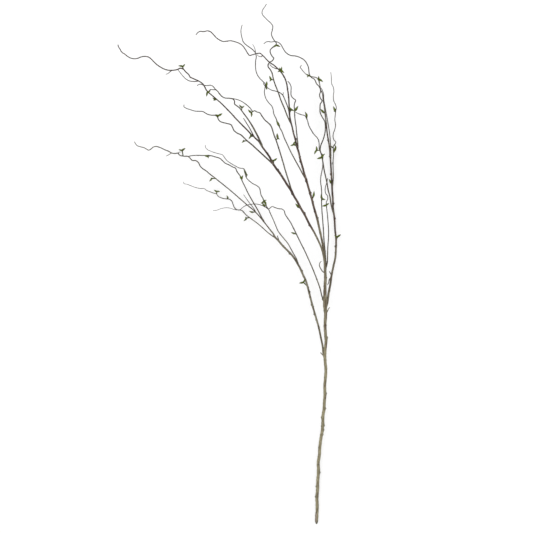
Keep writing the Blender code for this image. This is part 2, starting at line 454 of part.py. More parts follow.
# Each sprout: where its stalk leaves the stem, where its leaves part, and the leaves' tips
SPROUTS = {
    "left_limb": [
        ((183.2, 155.8), (182.1, 150.2), [(178.5, 149.2), (185.6, 147.8)]),
        ((215.3, 178.6), (211.6, 178.3), [(209.2, 181.4)]),
        ((255.4, 211.6), (252.6, 212), [(249, 210.9)]),
        ((306.7, 286.3), (303.3, 282), [(298.8, 282.9), (304.8, 278.4)]),
    ],
    "left_low_twig": [
        ((216.5, 193.5), (217, 191.3), [(213.8, 189.5), (220.3, 191.3)]),
        ((228.3, 199.1), (227.8, 197.8), [(226.6, 195)]),
        ((249.6, 217.5), (246.4, 217.8), [(243.5, 221), (245.2, 216.6)]),
    ],
    "left_middle_twig": [
        ((210.4, 155.6), (207.9, 156.2), [(203.8, 155.2), (208.6, 158.4)]),
        ((241.7, 180.4), (241.8, 178.9), [(243.2, 174.9), (240, 174.6)]),
    ],
    "left_inner_twig": [
        ((246.3, 177), (246.9, 174.8), [(243.9, 168)]),
        ((262.8, 198.5), (264, 201), [(260.6, 203.5), (266.9, 199.9), (266.6, 206.1)]),
        ((266.2, 205.4), (264.6, 206.1), [(262, 202.4)]),
    ],
    "left_arching_twig": [
        ((296.5, 234), (294.3, 233.4), [(290.8, 232.2)]),
    ],
    "long_limb": [
        ((184.2, 69.8), (182.7, 66.9), [(178.3, 66.2), (185.4, 64.1)]),
        ((207.6, 91.9), (207.3, 93), [(206.5, 97), (211, 90.6)]),
        ((217, 99.9), (215.6, 99.9), [(212.6, 98), (213.4, 100.9)]),
        ((253.4, 136.8), (250.7, 136.7), [(250.9, 133.6), (248.7, 139.5)]),
        ((301, 209), (298, 207), [(295, 203.4)]),
        ((273.3, 164), (273.9, 160.6), [(277.3, 158.2), (271.8, 159.9)]),
    ],
    "long_limb_upper_twig": [
        ((241.4, 110.9), (242.2, 107.8), [(239.1, 105.1), (244.6, 106.2)]),
    ],
    "long_limb_inner_twig": [
        ((253.6, 111.2), (251.2, 113), [(248, 109.8), (251.5, 117.6)]),
        ((276.2, 140.2), (277.9, 138.4), [(277, 133.2), (279.8, 139.5)]),
    ],
    "long_limb_lower_twig": [
        ((217.9, 118), (218.4, 115.7), [(215.3, 114.4), (222.6, 113.3)]),
        ((247.2, 141), (244, 141.2), [(241.7, 142.8), (243.3, 139.8)]),
    ],
    "centre_limb": [
        ((282.2, 73.6), (280.8, 70.8), [(279.1, 68), (284.3, 73.5), (281.7, 67.1), (277.5, 72.8)]),
        ((289.9, 112.8), (291.3, 110.2), [(288.8, 107.3), (294.4, 111.5)]),
        ((312, 200), (312.8, 197), [(314, 190.7)]),
        ((296.4, 145), (293.6, 144.4), [(290, 146.1), (295.3, 141.2), (295.8, 146.5)]),
    ],
    "centre_tall_twig": [
        ((275, 45.5), (276.7, 46.2), [(273.2, 48.6), (280.4, 47.8)]),
        ((273.9, 80.6), (271, 80.2), [(269.2, 76.4), (269.5, 82.3)]),
    ],
    "centre_left_twig": [
        ((265, 87.2), (266.5, 86), [(266.9, 81.3), (267, 90.4)]),
        ((279.8, 127.6), (279.1, 126), [(276.1, 119.9)]),
    ],
    "centre_right_twig": [
        ((294.4, 112), (295, 110.9), [(298.2, 105.9)]),
    ],
    "inner_left_twig": [
        ((307, 119.5), (306.6, 116.9), [(304.9, 111.7)]),
        ((319.6, 150.4), (316.6, 150.4), [(316.1, 146), (314.1, 154.5)]),
        ((322.3, 159.5), (321.1, 157.5), [(316.6, 158.8), (324.9, 153.7)]),
        ((321.6, 201), (322, 198.7), [(320.9, 194), (325.5, 199.7)]),
    ],
    "inner_long_twig": [
        ((311, 76.6), (308.4, 75.8), [(306.5, 73.8), (306.9, 77.7)]),
    ],
    "inner_short_twig": [
        ((326.5, 207), (326, 204.9), [(321.6, 206.1), (329.1, 203)]),
    ],
    "right_limb": [
        ((319.4, 83), (319, 79.3), [(318.6, 75.8), (323, 82), (316.8, 79.2)]),
        ((324.9, 113), (323.6, 112.4), [(320.3, 108.7)]),
        ((331.6, 184), (330.6, 182.4), [(328.8, 178.7)]),
        ((336, 240), (337.5, 236.6), [(341, 234), (334.2, 235)]),
    ],
    "right_outer_twig": [
        ((335.9, 112.2), (334.6, 111), [(333, 106)]),
        ((334.6, 144.4), (335.7, 147), [(333.1, 153.6)]),
        ((333.5, 147.2), (332.2, 147.1), [(330.7, 145.9)]),
    ],
}


def placed(point):
    """A picture point as x and y in metres."""
    return np.array((point[0] - PICTURE_CENTRE[0], PICTURE_CENTRE[1] - point[1])) * PIXEL


def flowing(knots, at):
    """The smooth curve through (share, value) knots, whose slope at each knot follows its neighbours."""
    share, value = np.array(knots, float).T
    slope = np.gradient(value, share)
    i = np.clip(np.searchsorted(share, at) - 1, 0, len(share) - 2)
    span = share[i + 1] - share[i]
    t = (at - share[i]) / span
    start = (1 + 2 * t) * value[i] + t * span * slope[i]
    end = (3 - 2 * t) * value[i + 1] - (1 - t) * span * slope[i + 1]
    return (1 - t) ** 2 * start + t**2 * end


def shares_along(flat):
    """How far along the route each of its points lies, from 0 to 1, and the route's length."""
    steps = np.linalg.norm(np.diff(flat, axis=0), axis=1)
    run = np.concatenate([[0.0], np.cumsum(steps)])
    return run / run[-1], run[-1]


def nearest_on(route, flat_point):
    """The point of a stem's axis that lies under or over a flat point."""
    starts, legs = route[:-1], np.diff(route, axis=0)
    across = ((flat_point - starts[:, :2]) * legs[:, :2]).sum(1) / (legs[:, :2] ** 2).sum(1)
    feet = starts + np.clip(across, 0, 1)[:, None] * legs
    return feet[np.linalg.norm(feet[:, :2] - flat_point, axis=1).argmin()]


def stem_route(stem, routes):
    """The stem's axis points, and its radius at each."""
    flat = [placed(point) for point in stem["path"]]
    heights = list(stem["heights"])
    if "grows_from" in stem:
        parent, place = stem["grows_from"]
        root = nearest_on(routes[parent][0], placed(place))
        flat.insert(0, root[:2])
        heights.insert(0, (0, root[2] / MM))
    flat = np.array(flat)
    share, length = shares_along(flat)
    strength = np.clip((share - WAVES_FROM) / (WAVES_FULL - WAVES_FROM), 0, 1)
    waving = np.sin(2 * math.pi * share * length / WAVE_LENGTH) * strength
    height = (flowing(heights, share) + stem.get("wave", 0.0) * waving) * MM
    radius = np.interp(share, *np.array(stem["widths"], float).T) / 2
    return np.column_stack([flat, height]), radius


def mesh_object(name, points, faces):
    """A closed mesh object whose faces point out."""
    mesh = bpy.data.meshes.new(name)
    mesh.from_pydata([tuple(point) for point in points], [], faces)
    shell = bmesh.new()
    shell.from_mesh(mesh)
    bmesh.ops.recalc_face_normals(shell, faces=shell.faces)
    shell.to_mesh(mesh)
    shell.free()
    return bpy.data.objects.new(name, mesh)


def tube(name, route, radius, sides):
    """A closed tube: a ring of points round each point of the route, its first point facing down."""
    ahead = np.gradient(route, axis=0)
    ahead /= np.linalg.norm(ahead, axis=1)[:, None]
    across = np.cross(ahead, UP)
    across /= np.linalg.norm(across, axis=1)[:, None]
    above = np.cross(across, ahead)
    turn = 2 * math.pi * np.arange(sides) / sides - math.pi / 2
    ring = across[:, None] * np.cos(turn)[None, :, None] + above[:, None] * np.sin(turn)[None, :, None]
    points = (route[:, None] + ring * radius[:, None, None]).reshape(-1, 3)
    faces = []
    for i in range(len(route) - 1):
        for k in range(sides):
            low, next_low = i * sides + k, i * sides + (k + 1) % sides
            faces.append((low, next_low, next_low + sides, low + sides))
    faces.append(tuple(range(sides)))
    faces.append(tuple(len(points) - 1 - k for k in range(sides)))
    return mesh_object(name, points, faces)


def grown(route, radius, gap):
    """The same tube, larger by the gap all round and at both ends."""
    longer = route.copy()
    for end, inner in ((0, 1), (-1, -2)):
        away = route[end] - route[inner]
        longer[end] += gap * away / np.linalg.norm(away)
    return longer, radius + gap


def blade(name, base, tip, roll):
    """A pointed leaf with a ridge along both faces: its section is widest below the middle, and its edges
    are folded up from the rib."""
    along = tip - base
    length = np.linalg.norm(along)
    along /= length
    side = np.cross(along, UP)
    side /= np.linalg.norm(side)
    face = np.cross(side, along)
    side, face = math.cos(roll) * side + math.sin(roll) * face, math.cos(roll) * face - math.sin(roll) * side
    wanted = LEAF_WIDTH_SHARE * length + LEAF_WIDTH_EXTRA
    half = min(max(wanted, LEAF_WIDTH_LEAST), LEAF_WIDTH_MOST) / 2
    points = []
    for share, width, arch in LEAF_SECTIONS:
        middle = base + along * length * share + face * length * arch
        rib = face * LEAF_THICKNESS / 2
        fold = face * half * width * LEAF_FOLD
        edge = side * half * width
        points += [middle - edge + fold, middle + rib, middle + edge + fold, middle - rib]
    points.append(tip)
    faces = [(0, 1, 2), (0, 2, 3)]
    for i in (0, 4):
        for k in range(4):
            low, next_low = i + k, i + (k + 1) % 4
            faces += [(low, next_low, next_low + 4), (low, next_low + 4, low + 4)]
    faces += [(8 + k, 8 + (k + 1) % 4, 12) for k in range(4)]
    return mesh_object(name, points, faces)


def bud_scar(name, route, radius, place):
    """A low knob on the bark, half sunk, on the side of the stem that the place lies."""
    foot = nearest_on(route, placed(place))
    share = np.linalg.norm(route - foot, axis=1).argmin()
    away = placed(place) - foot[:2]
    away = np.append(away / np.linalg.norm(away), SCAR_LEAN)
    away /= np.linalg.norm(away)
    knob = bmesh.new()
    bmesh.ops.create_icosphere(knob, subdivisions=1, radius=SCAR_RADIUS)
    bmesh.ops.translate(knob, verts=knob.verts, vec=Vector(foot + away * (radius[share] - SCAR_SUNK)))
    mesh = bpy.data.meshes.new(name)
    knob.to_mesh(mesh)
    knob.free()
    return bpy.data.objects.new(name, mesh)


def spur_tube(name, spur, route, radius):
    """A short bare side shoot, thinner than its stem and tapering to its end, which meets the stem again
    where its last point lies on the stem."""
    flat = np.array([placed(point) for point in spur])
    root = nearest_on(route, flat[0])
    share, length = shares_along(flat)
    points = np.column_stack([flat, root[2] + SPUR_RISE * length * share])
    points[0] = root
    ends = np.linalg.norm(route[:, :2] - flat[-1], axis=1)
    if ends.min() < 0.5 * PIXEL:
        points[-1] = route[ends.argmin()]
    stem_radius = radius[np.linalg.norm(route - root, axis=1).argmin()]
    thickest = min(SPUR_OF_STEM * stem_radius, SPUR_DIAMETER / 2)
    return tube(name, points, thickest * (1 - SPUR_TAPER * share), SMALL_SIDES)


def sprout_pieces(name, sprout, route, draw):
    """A stalk with a swollen end, and the leaves that part from it."""
    base, hub, tips = sprout
    root = nearest_on(route, placed(base))
    top = np.append(placed(hub), root[2] + draw.uniform(*SPROUT_LIFT))
    beyond = top + (top - root) / np.linalg.norm(top - root) * 0.5 * HUB_DIAMETER
    stalk = np.array([root, top, beyond])
    radius = np.array([STALK_DIAMETER, HUB_DIAMETER, 0.6 * HUB_DIAMETER]) / 2
    pieces = [tube(name + "_stalk", stalk, radius, SMALL_SIDES)]
    for tip in tips:
        spread = placed(tip) - top[:2]
        reach = np.linalg.norm(spread)
        end = np.append(placed(tip), top[2] + reach * draw.uniform(*LEAF_RISE))
        start = top - (end - top) / np.linalg.norm(end - top) * LEAF_SUNK * HUB_DIAMETER
        pieces.append(blade(name + "_leaf", start, end, draw.uniform(-LEAF_ROLL, LEAF_ROLL)))
    return pieces


def applied(obj):
    """The object's mesh with its modifiers worked in."""
    bpy.context.view_layer.update()
    finished = bpy.data.meshes.new_from_object(obj.evaluated_get(bpy.context.evaluated_depsgraph_get()))
    obj.modifiers.clear()
    obj.data = finished


def joined(stem, pieces):
    """The stem with its pieces fused to it by one union."""
    group = bpy.data.collections.new("pieces")
    bpy.context.scene.collection.children.link(group)
    for piece in pieces:
        group.objects.link(piece)
    union = stem.modifiers.new("leaves and spurs", "BOOLEAN")
    union.operation = "UNION"
    union.operand_type = "COLLECTION"
    union.collection = group
    union.solver = "EXACT"
    applied(stem)
    for piece in pieces:
        bpy.data.objects.remove(piece)
    bpy.data.collections.remove(group)


def trimmed(stem, cutter):
    """The stem less the cutter, which is then removed."""
    bpy.context.scene.collection.objects.link(cutter)
    cutter.hide_render = True
    cutter.display_type = "WIRE"
    cut = stem.modifiers.new("trim", "BOOLEAN")
    cut.operation = "DIFFERENCE"
    cut.object = cutter
    cut.solver = "EXACT"
    applied(stem)
    bpy.data.objects.remove(cutter)


def largest_only(obj):
    """Drops the scraps that a cut leaves loose."""
    shell = bmesh.new()
    shell.from_mesh(obj.data)
    todo, islands = set(shell.verts), []
    while todo:
        reached, island = [todo.pop()], set()
        while reached:
            vert = reached.pop()
            island.add(vert)
            near = {edge.other_vert(vert) for edge in vert.link_edges} & todo
            todo -= near
            reached += near
        islands.append(island)
    islands.sort(key=len)
    for island in islands[:-1]:
        bmesh.ops.delete(shell, geom=list(island), context="VERTS")
    shell.to_mesh(obj.data)
    shell.free()


def block_below_surface():
    """A block whose top is the surface that the branch lies on."""
    block = bmesh.new()
    bmesh.ops.create_cube(block, size=2 * BRANCH_LENGTH)
    bmesh.ops.translate(block, verts=block.verts, vec=Vector((0.0, 0.0, -BRANCH_LENGTH)))
    mesh = bpy.data.meshes.new("surface_trim")
    block.to_mesh(mesh)
    block.free()
    return bpy.data.objects.new("surface_trim", mesh)


def bark_material(name, colour):
    material = bpy.data.materials.new(name + "_bark")
    material.use_nodes = True
    shader = material.node_tree.nodes["Principled BSDF"]
    shader.inputs["Base Color"].default_value = (*colour, 1.0)
    shader.inputs["Roughness"].default_value = BARK_ROUGHNESS
    shader.inputs["Metallic"].default_value = 0.0
    return material


def build_stem(name, stem, routes):
    """One stem with all that is fused to it, trimmed where it leaves the stem it grows from."""
    draw = random.Random(name)
    route, radius = stem_route(stem, routes)
    routes[name] = (route, radius)
    obj = tube(name, route, radius, stem["sides"])
    bpy.context.scene.collection.objects.link(obj)
    pieces = []
    for i, spur in enumerate(stem.get("spurs", [])):
        pieces.append(spur_tube(f"spur_{i}", spur, route, radius))
    for i, place in enumerate(stem.get("scars", [])):
        pieces.append(bud_scar(f"scar_{i}", route, radius, place))
    for i, sprout in enumerate(SPROUTS.get(name, [])):
        pieces += sprout_pieces(f"sprout_{i}", sprout, route, draw)
    if pieces:
        joined(obj, pieces)
    if "grows_from" in stem:
        parent_route, parent_radius = routes[stem["grows_from"][0]]
        sides = STEMS[stem["grows_from"][0]]["sides"]
        trimmed(obj, tube("fork_trim", *grown(parent_route, parent_radius, FORK_GAP), sides))
        largest_only(obj)
    if min(vertex.co.z for vertex in obj.data.vertices) < 0:
        trimmed(obj, block_below_surface())
    obj.data.materials.clear()
    obj.data.materials.append(bark_material(name, stem["bark"]))
    obj.data.shade_smooth()
    obj.data.set_sharp_from_angle(angle=SHARP_EDGE)


def stems_in_order():
    """The stems, each after the one it grows from."""
    waiting, ready = dict(STEMS), []
    while waiting:
        for name in list(waiting):
            if waiting[name].get("grows_from", ("",))[0] not in waiting:
                ready.append((name, waiting.pop(name)))
    return ready


for old in list(bpy.data.objects):
    bpy.data.objects.remove(old)
stem_routes = {}
for stem_name, stem_facts in stems_in_order():
    build_stem(stem_name, stem_facts, stem_routes)
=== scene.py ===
# %% [markdown]
# # A leafy twig, built stem by stem
# This is a cut branch: a bare, slightly knotty lower stem, four limbs and sixteen thin wavy twigs, all
# dotted with small opening leaves. It lies on a pale surface and the camera looks straight down on it. A
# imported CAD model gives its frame: plain tubes and flat little leaves at the right size and place. Each
# step below swaps them for finer surfaces on the same lines: bark with buds and scars, toothed leaves with
# veins, and a cut end. A branch could also be grown with a tree generator, but that gives some branch, not
# this one.

import json
import math
import random

import bpy
import numpy as np
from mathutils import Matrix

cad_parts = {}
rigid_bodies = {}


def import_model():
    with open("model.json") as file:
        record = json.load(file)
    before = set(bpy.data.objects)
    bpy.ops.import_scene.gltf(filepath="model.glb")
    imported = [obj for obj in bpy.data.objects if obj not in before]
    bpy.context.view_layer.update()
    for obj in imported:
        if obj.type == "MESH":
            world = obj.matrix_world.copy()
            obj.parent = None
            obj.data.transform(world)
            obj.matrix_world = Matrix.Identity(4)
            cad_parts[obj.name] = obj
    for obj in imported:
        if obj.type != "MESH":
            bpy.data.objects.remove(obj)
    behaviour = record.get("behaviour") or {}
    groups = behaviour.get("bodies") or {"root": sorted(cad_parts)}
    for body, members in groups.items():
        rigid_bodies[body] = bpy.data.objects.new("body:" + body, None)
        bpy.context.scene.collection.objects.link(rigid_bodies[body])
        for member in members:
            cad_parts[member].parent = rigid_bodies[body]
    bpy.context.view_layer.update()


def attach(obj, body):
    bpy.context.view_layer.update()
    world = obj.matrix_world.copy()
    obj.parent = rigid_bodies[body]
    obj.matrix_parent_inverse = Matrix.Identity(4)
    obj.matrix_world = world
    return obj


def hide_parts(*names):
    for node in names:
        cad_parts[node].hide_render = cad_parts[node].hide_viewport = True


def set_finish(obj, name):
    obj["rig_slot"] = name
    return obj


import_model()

# %% [markdown]
# ## The lines of the stems
# Every stem of a branch is a line with a thickness. Modellers draw such lines as curve objects, sculpt
# them, or list their points. The CAD frame was made from listed points, traced in the picture's 533 x 533
# frame, so the same points are listed again here: a fine skin that follows other lines would not sit on its
# frame. Beside its path each stem has the stem it grows from, (share of its length, height in mm) pairs,
# (share, diameter) pairs, and the spurs and bud scars that can be seen on it. The main stem's dark stains
# each have a place, half their length and half their width in mm.

# %% Sizes and routes
MM = 0.001
BRANCH_LENGTH = 1.168
TRUNK_DIAMETER = 0.0073
CUT_DIAMETER = 0.0028
LIMB_DIAMETER = 0.0050
TWIG_DIAMETER = 0.0029
TIP_DIAMETER = 0.0016
PICTURE_TOP = 4.5
PICTURE_BOTTOM = 523.3
PICTURE_CENTRE = (229.0, 264.0)
PIXEL = BRANCH_LENGTH / (PICTURE_BOTTOM - PICTURE_TOP)
UP = np.array((0.0, 0.0, 1.0))
WAVE_LENGTH = 0.034
WAVES_FROM = 0.3
WAVES_FULL = 0.5

STEMS = {
    "main_stem": {
        "path": [
            (316.6, 523.7), (316.5, 521), (316.6, 518.5), (317, 512), (317.2, 505), (316.9, 498),
            (317.5, 490), (317.8, 480), (318.5, 470), (318.2, 463), (319.3, 455), (319.9, 446),
            (320.9, 438), (322.3, 430), (322.8, 423), (323, 415), (324, 409), (324.3, 402), (324.9, 394),
            (324.7, 386), (325.3, 378), (325.8, 370), (325.2, 362), (324.9, 356), (325.2, 348), (326, 340),
            (325.3, 332), (325, 324), (325.5, 314), (324.9, 306), (324.9, 298), (324.9, 288), (325.3, 278),
            (325, 268), (325.3, 260),
        ],
        "heights": [(0, 3.3), (0.06, 3.4), (0.3, 10), (0.6, 23), (0.8, 34), (1, 46)],
        "widths": [(0, CUT_DIAMETER), (0.01, TRUNK_DIAMETER), (0.3, 0.0070), (0.6, 0.0067), (0.68, 0.0066),
                   (0.79, 0.0070), (0.825, 0.0086), (0.86, 0.0084), (0.89, 0.0069), (1, 0.0057)],
        "bark": "olive",
        "spurs": [
            [(324.6, 355.5), (322.4, 354.3), (320.3, 352)],
            [(325.6, 313.5), (327.2, 311.3), (328.2, 309), (329.6, 307)],
            [(325.2, 273), (323, 271.6), (320.6, 268.4), (319.3, 265), (320, 262.3), (321.3, 261)],
        ],
        "scars": [(327, 393), (325.8, 408), (321, 417), (324.5, 425), (324, 429), (320.8, 472), (315.3, 486),
                  (315.2, 496), (327.5, 337)],
        "stains": [((324, 266.5), 14, 3.2), ((323.9, 289), 17, 3.0), ((326, 292), 6, 2.2),
                   ((325.5, 303), 11, 2.8), ((326.6, 315), 9, 2.2), ((326.6, 344), 14, 2.6),
                   ((325.2, 328), 3, 1.6), ((325.4, 397), 5, 2.4), ((318.2, 494), 4, 2.2)],
    },
    "left_limb": {
        "grows_from": ("main_stem", (325, 359)),
        "path": [
            (323.3, 353), (322.6, 346), (321, 338), (318.7, 327.1), (315.6, 316.1), (312.9, 307),
            (311.3, 301.1), (309, 292), (306.9, 284), (305.2, 279), (303.3, 275.2), (300.3, 268.4),
            (297.5, 263.3), (295.7, 260.2), (292, 255), (287.6, 250.4), (282.6, 245.4), (278, 240),
            (275.1, 236.9), (273.4, 233.7), (270.3, 229.8), (265.5, 223.6), (261.4, 218.5), (256.3, 212.7),
            (252.2, 208.8), (248, 205.5), (244, 202), (238.1, 196.9), (231.1, 190.8), (225, 185.8),
            (219, 181), (214.2, 177.1), (210, 174), (206.1, 170.6), (202.7, 168.4), (200.2, 165.9),
            (198.5, 162.5), (196, 160.5), (192.1, 160.1), (190.3, 158.2), (188.6, 156.5), (184, 156),
            (179.6, 154.9), (178.1, 153.1), (175, 153.3), (171.7, 152.8), (169, 151.3), (164.9, 149.6),
            (160, 147.3), (156, 146.3), (153.1, 147.1), (151.1, 148.9), (148.7, 150), (146.6, 148.9),
            (144, 147.5), (140, 146.5), (137, 145.3), (135.3, 143), (134.5, 141.5),
        ],
        "heights": [(0.03, 19), (0.2, 21), (0.42, 20), (0.6, 17), (0.75, 13), (0.88, 15), (1, 28)],
        "widths": [(0, 0.0042), (0.15, 0.0044), (0.3, 0.0047), (0.42, 0.0043), (0.46, 0.0027),
                   (0.6, 0.0025), (0.85, 0.0025), (1, 0.0018)],
        "wave": 1.5,
        "bark": "olive",
        "spurs": [
            [(279.2, 241.2), (278.2, 238.3), (277.3, 235.3)],
            [(171.5, 153), (169.4, 154.2), (168, 155), (166, 156)],
            [(178, 153.3), (179.2, 152), (181, 151.8)],
            [(213.2, 176.7), (212.2, 176), (211.2, 175.3)],
            [(255.6, 212.8), (254.6, 209.6), (253, 207.2), (250, 203.4), (246.5, 198.6), (243.5, 194.3)],
        ],
        "scars": [(313.8, 314), (310.6, 304.3), (310.5, 291), (303.6, 270), (289, 253.6)],
    },
    "left_low_twig": {
        "grows_from": ("left_limb", (276, 238)),
        "path": [
            (270.3, 234.3), (265.3, 230), (260.3, 225.5), (256.1, 222.1), (252.2, 219.3), (249.2, 217.1),
            (246.7, 215.2), (244.3, 212.7), (242.1, 210.4), (240, 209.8), (237, 209.5), (234.5, 207.5),
            (233, 204), (231.8, 200.9), (229.6, 199.1), (226, 198.6), (221.2, 197.6), (218.1, 195.9),
            (216.4, 193.6), (214, 193), (210, 191.5), (206.1, 189.9), (204.5, 188.5), (201, 188.3),
            (197.1, 187.7), (192.1, 186), (187, 184), (183.8, 183.1), (183.8, 181.5),
        ],
        "heights": [(0.12, 15), (0.32, 6), (0.5, 0.76), (0.62, 2.6), (0.85, 8), (1, 18)],
        "widths": [(0, 0.0023), (0.3, 0.0022), (0.6, 0.0019), (0.8, 0.0014), (1, 0.0012)],
        "wave": 0.0,
        "bark": "brown",
    },
    "left_middle_twig": {
        "grows_from": ("left_limb", (264, 222.3)),
        "path": [
            (260.7, 215.4), (258.3, 210.8), (255.4, 205.8), (252, 200), (248.3, 193.4), (244.6, 185.7),
            (242, 180.4), (240, 175.5), (238.2, 173.2), (236.7, 170.7), (235.5, 168), (233, 167),
            (229.1, 164.8), (225.2, 163), (222.6, 160.6), (220, 158.3), (216, 157), (211, 155.6),
            (204, 155.4), (195, 155.3), (191, 155.7), (188.5, 156.3),
        ],
        "heights": [(0.06, 24), (0.3, 32), (0.55, 30), (0.8, 34), (1, 30)],
        "widths": [(0, TWIG_DIAMETER), (0.3, 0.0024), (0.8, 0.0023), (1, 0.0020)],
        "wave": 1.2,
        "bark": "brown",
    },
    "left_inner_twig": {
        "grows_from": ("left_limb", (298.6, 264.5)),
        "path": [
            (296.4, 258.5), (293.8, 254), (290.8, 248.5), (288, 243.5), (284.1, 238.6), (280.2, 233.9),
            (278.1, 230.9), (275.7, 225.4), (273, 219), (270, 212.5), (268.5, 209), (267, 207),
            (264, 200.5), (262.7, 197.9), (260.9, 194.4), (260.3, 191), (259.5, 188), (257, 185.7),
            (252.5, 183.3), (249, 180.5), (246.5, 177.7), (245.5, 175.5), (245.1, 170.7), (243.1, 168.5),
            (240, 168.1), (235.5, 166), (231.1, 163.4), (227, 160.5), (224.6, 157.6), (222.5, 154.8),
            (219, 153.8), (215, 152.7), (211.1, 151.3), (207.6, 149.6), (205.7, 147.5), (205.5, 145),
        ],
        "heights": [(0.04, 25), (0.3, 34), (0.6, 42), (0.85, 52), (1, 62)],
        "widths": [(0, 0.0025), (0.3, 0.0021), (0.45, 0.0023), (0.6, 0.0020), (1, 0.0012)],
        "wave": 1.5,
        "bark": "brown",
    },
    "left_arching_twig": {
        "grows_from": ("main_stem", (325.2, 304)),
        "path": [
            (322.5, 298), (321.5, 294.6), (320.2, 289.1), (317.2, 280.3), (313.3, 270.3), (309, 260.3),
            (304.8, 251.1), (299.6, 240.7), (296, 233.2), (293.5, 228.3), (290.7, 222.7), (287.7, 218.2),
            (285.1, 214.1), (284, 210.5), (282, 209), (279, 208.7), (275, 207.5), (272, 206.5), (270, 208),
            (268.5, 209), (266, 207.3), (261.9, 205.4), (257, 204), (251, 204.2), (247, 205),
            (242.8, 207.2), (240, 209.5), (237, 209.8), (234, 209.3), (230.9, 208.2), (226, 207.6),
            (221, 208.5), (217, 210), (213, 210.5),
        ],
        "heights": [(0.06, 40), (0.35, 58), (0.6, 62), (0.8, 50), (1, 34)],
        "widths": [(0, TWIG_DIAMETER), (0.3, 0.0025), (0.45, 0.0026), (0.6, 0.0020), (1, 0.0011)],
        "wave": 1.8,
        "bark": "brown",
    },
    "long_limb": {
        "grows_from": ("main_stem", (325.2, 275)),
        "path": [
            (324.5, 266), (323.6, 257), (321, 247), (317.4, 238.8), (313.3, 230.9), (308.8, 223.1),
            (304.4, 214.3), (300.5, 207.8), (297.8, 202.6), (293.7, 195.7), (290, 189), (287.7, 185.8),
            (284.1, 179.9), (279.7, 173.2), (274.8, 166.6), (271.5, 161), (269.5, 157), (265.7, 151.7),
            (261.7, 146.2), (259.4, 142.3), (255, 138), (253.1, 135.9), (251, 134.5), (249.4, 132.6),
            (244, 127), (238, 121), (230.8, 113.2), (224.9, 107.1), (219, 101.5), (216, 99), (212.5, 96),
            (209.5, 93.5), (206.8, 90.8), (205, 87.5), (203.5, 84.8), (201.5, 83), (198.9, 81.4), (196, 80),
            (192.5, 78.5), (190.5, 77.5), (189, 75), (185.9, 72.1), (183.5, 69.5), (180.1, 68.6),
            (178.1, 69.6), (172, 70.6), (169, 70.5), (164.9, 69.5), (161, 67.5), (158, 65.5), (155.2, 63.1),
            (152.6, 60.4), (150, 58), (147.9, 57), (145, 56.6), (141.1, 57.3), (138.2, 58.5), (135, 59),
            (131, 58.3), (128, 56.7), (125, 54.3), (122.1, 52.4), (120.3, 49.3), (118.8, 46.9),
            (118.3, 44.9),
        ],
        "heights": [(0.027, 48.5), (0.054, 52.5), (0.2, 72), (0.42, 92), (0.6, 88), (0.8, 66), (0.92, 56),
                    (1, 64)],
        "widths": [(0, 0.0036), (0.1, 0.0042), (0.2, LIMB_DIAMETER), (0.38, 0.0050), (0.44, 0.0038),
                   (0.55, 0.0030), (0.8, 0.0027), (1, 0.0022)],
        "wave": 1.8,
        "bark": "plum",
        "spurs": [
            [(199, 81.3), (195, 81.8), (189, 81), (186, 79.2), (183, 76.2), (180, 72.5), (178, 69.2)],
            [(172, 70.3), (170, 72.3), (168, 74), (166, 74.5)],
            [(254.6, 137.6), (252.4, 133.6), (250, 129), (246, 122.5), (243.5, 118.5)],
        ],
        "scars": [(308.8, 225), (305.6, 212), (291.3, 194), (278.7, 169)],
    },
    "long_limb_upper_twig": {
        "grows_from": ("long_limb", (262.4, 146.6)),
        "path": [
            (259.3, 139.6), (256.5, 134), (253, 127.5), (249, 121), (243.5, 113.5), (241.4, 110.6),
            (240.1, 108.9), (237.4, 106.6), (234.8, 104.6), (234.6, 101.4), (233, 99.6), (230, 98.9),
            (225, 98.5), (222.5, 97.3), (220, 94.5), (218, 92), (215.5, 89.7), (213.4, 87.1), (210.8, 85.8),
            (208, 86.1), (204.4, 86), (201, 84.8), (199.2, 85.1), (197.3, 86.2),
        ],
        "heights": [(0.08, 97), (0.3, 110), (0.6, 118), (1, 106)],
        "widths": [(0, 0.0041), (0.2, 0.0039), (0.3, 0.0029), (0.6, 0.0025), (1, 0.0018)],
        "wave": 1.6,
        "bark": "brown",
    },
    "long_limb_inner_twig": {
        "grows_from": ("long_limb", (293.3, 194.3)),
        "path": [
            (290.5, 187.5), (288.9, 182), (287, 176), (285.1, 170), (283.4, 163.9), (280.7, 154.9),
            (277.9, 146), (275.6, 139.2), (273.9, 135), (271.8, 128.1), (270.9, 126.1), (268, 123),
            (264.8, 120.2), (261.8, 116.1), (259.9, 113.2), (256.9, 112.3), (254.5, 111.1), (253, 111.7),
            (250.4, 108.6), (245.9, 104.6), (240.8, 101.3), (235.9, 99.6), (230, 98.7), (225, 98.3),
            (220, 95), (216.5, 90.5), (213, 90.2), (210.5, 90), (209, 91.5),
        ],
        "heights": [(0.06, 76), (0.3, 84), (0.6, 92), (0.8, 95), (1, 98)],
        "widths": [(0, 0.0038), (0.15, 0.0030), (0.45, 0.0029), (0.6, 0.0024), (0.75, 0.0019),
                   (1, 0.0018)],
        "wave": 1.6,
        "bark": "plum",
    },
    "long_limb_lower_twig": {
        "grows_from": ("long_limb", (273.6, 164.4)),
        "path": [
            (267.9, 159.5), (262.7, 154.7), (257.7, 150.1), (251.8, 144.7), (247, 140.7), (244.1, 137.9),
            (241, 135), (237, 133), (234, 130.5), (232.6, 127.4), (231, 124.7), (227.9, 123.7),
            (223, 122.5), (220, 121.3), (218.3, 119), (217.5, 117), (215.5, 115.4), (212, 115.2),
            (208, 114.3), (205.5, 113), (203, 111.5), (200, 111.3), (195, 111), (190, 109.5),
            (186.1, 108.1), (184, 106.5), (184.2, 104.5),
        ],
        "heights": [(0.08, 82), (0.3, 66), (0.6, 44), (0.85, 30), (1, 38)],
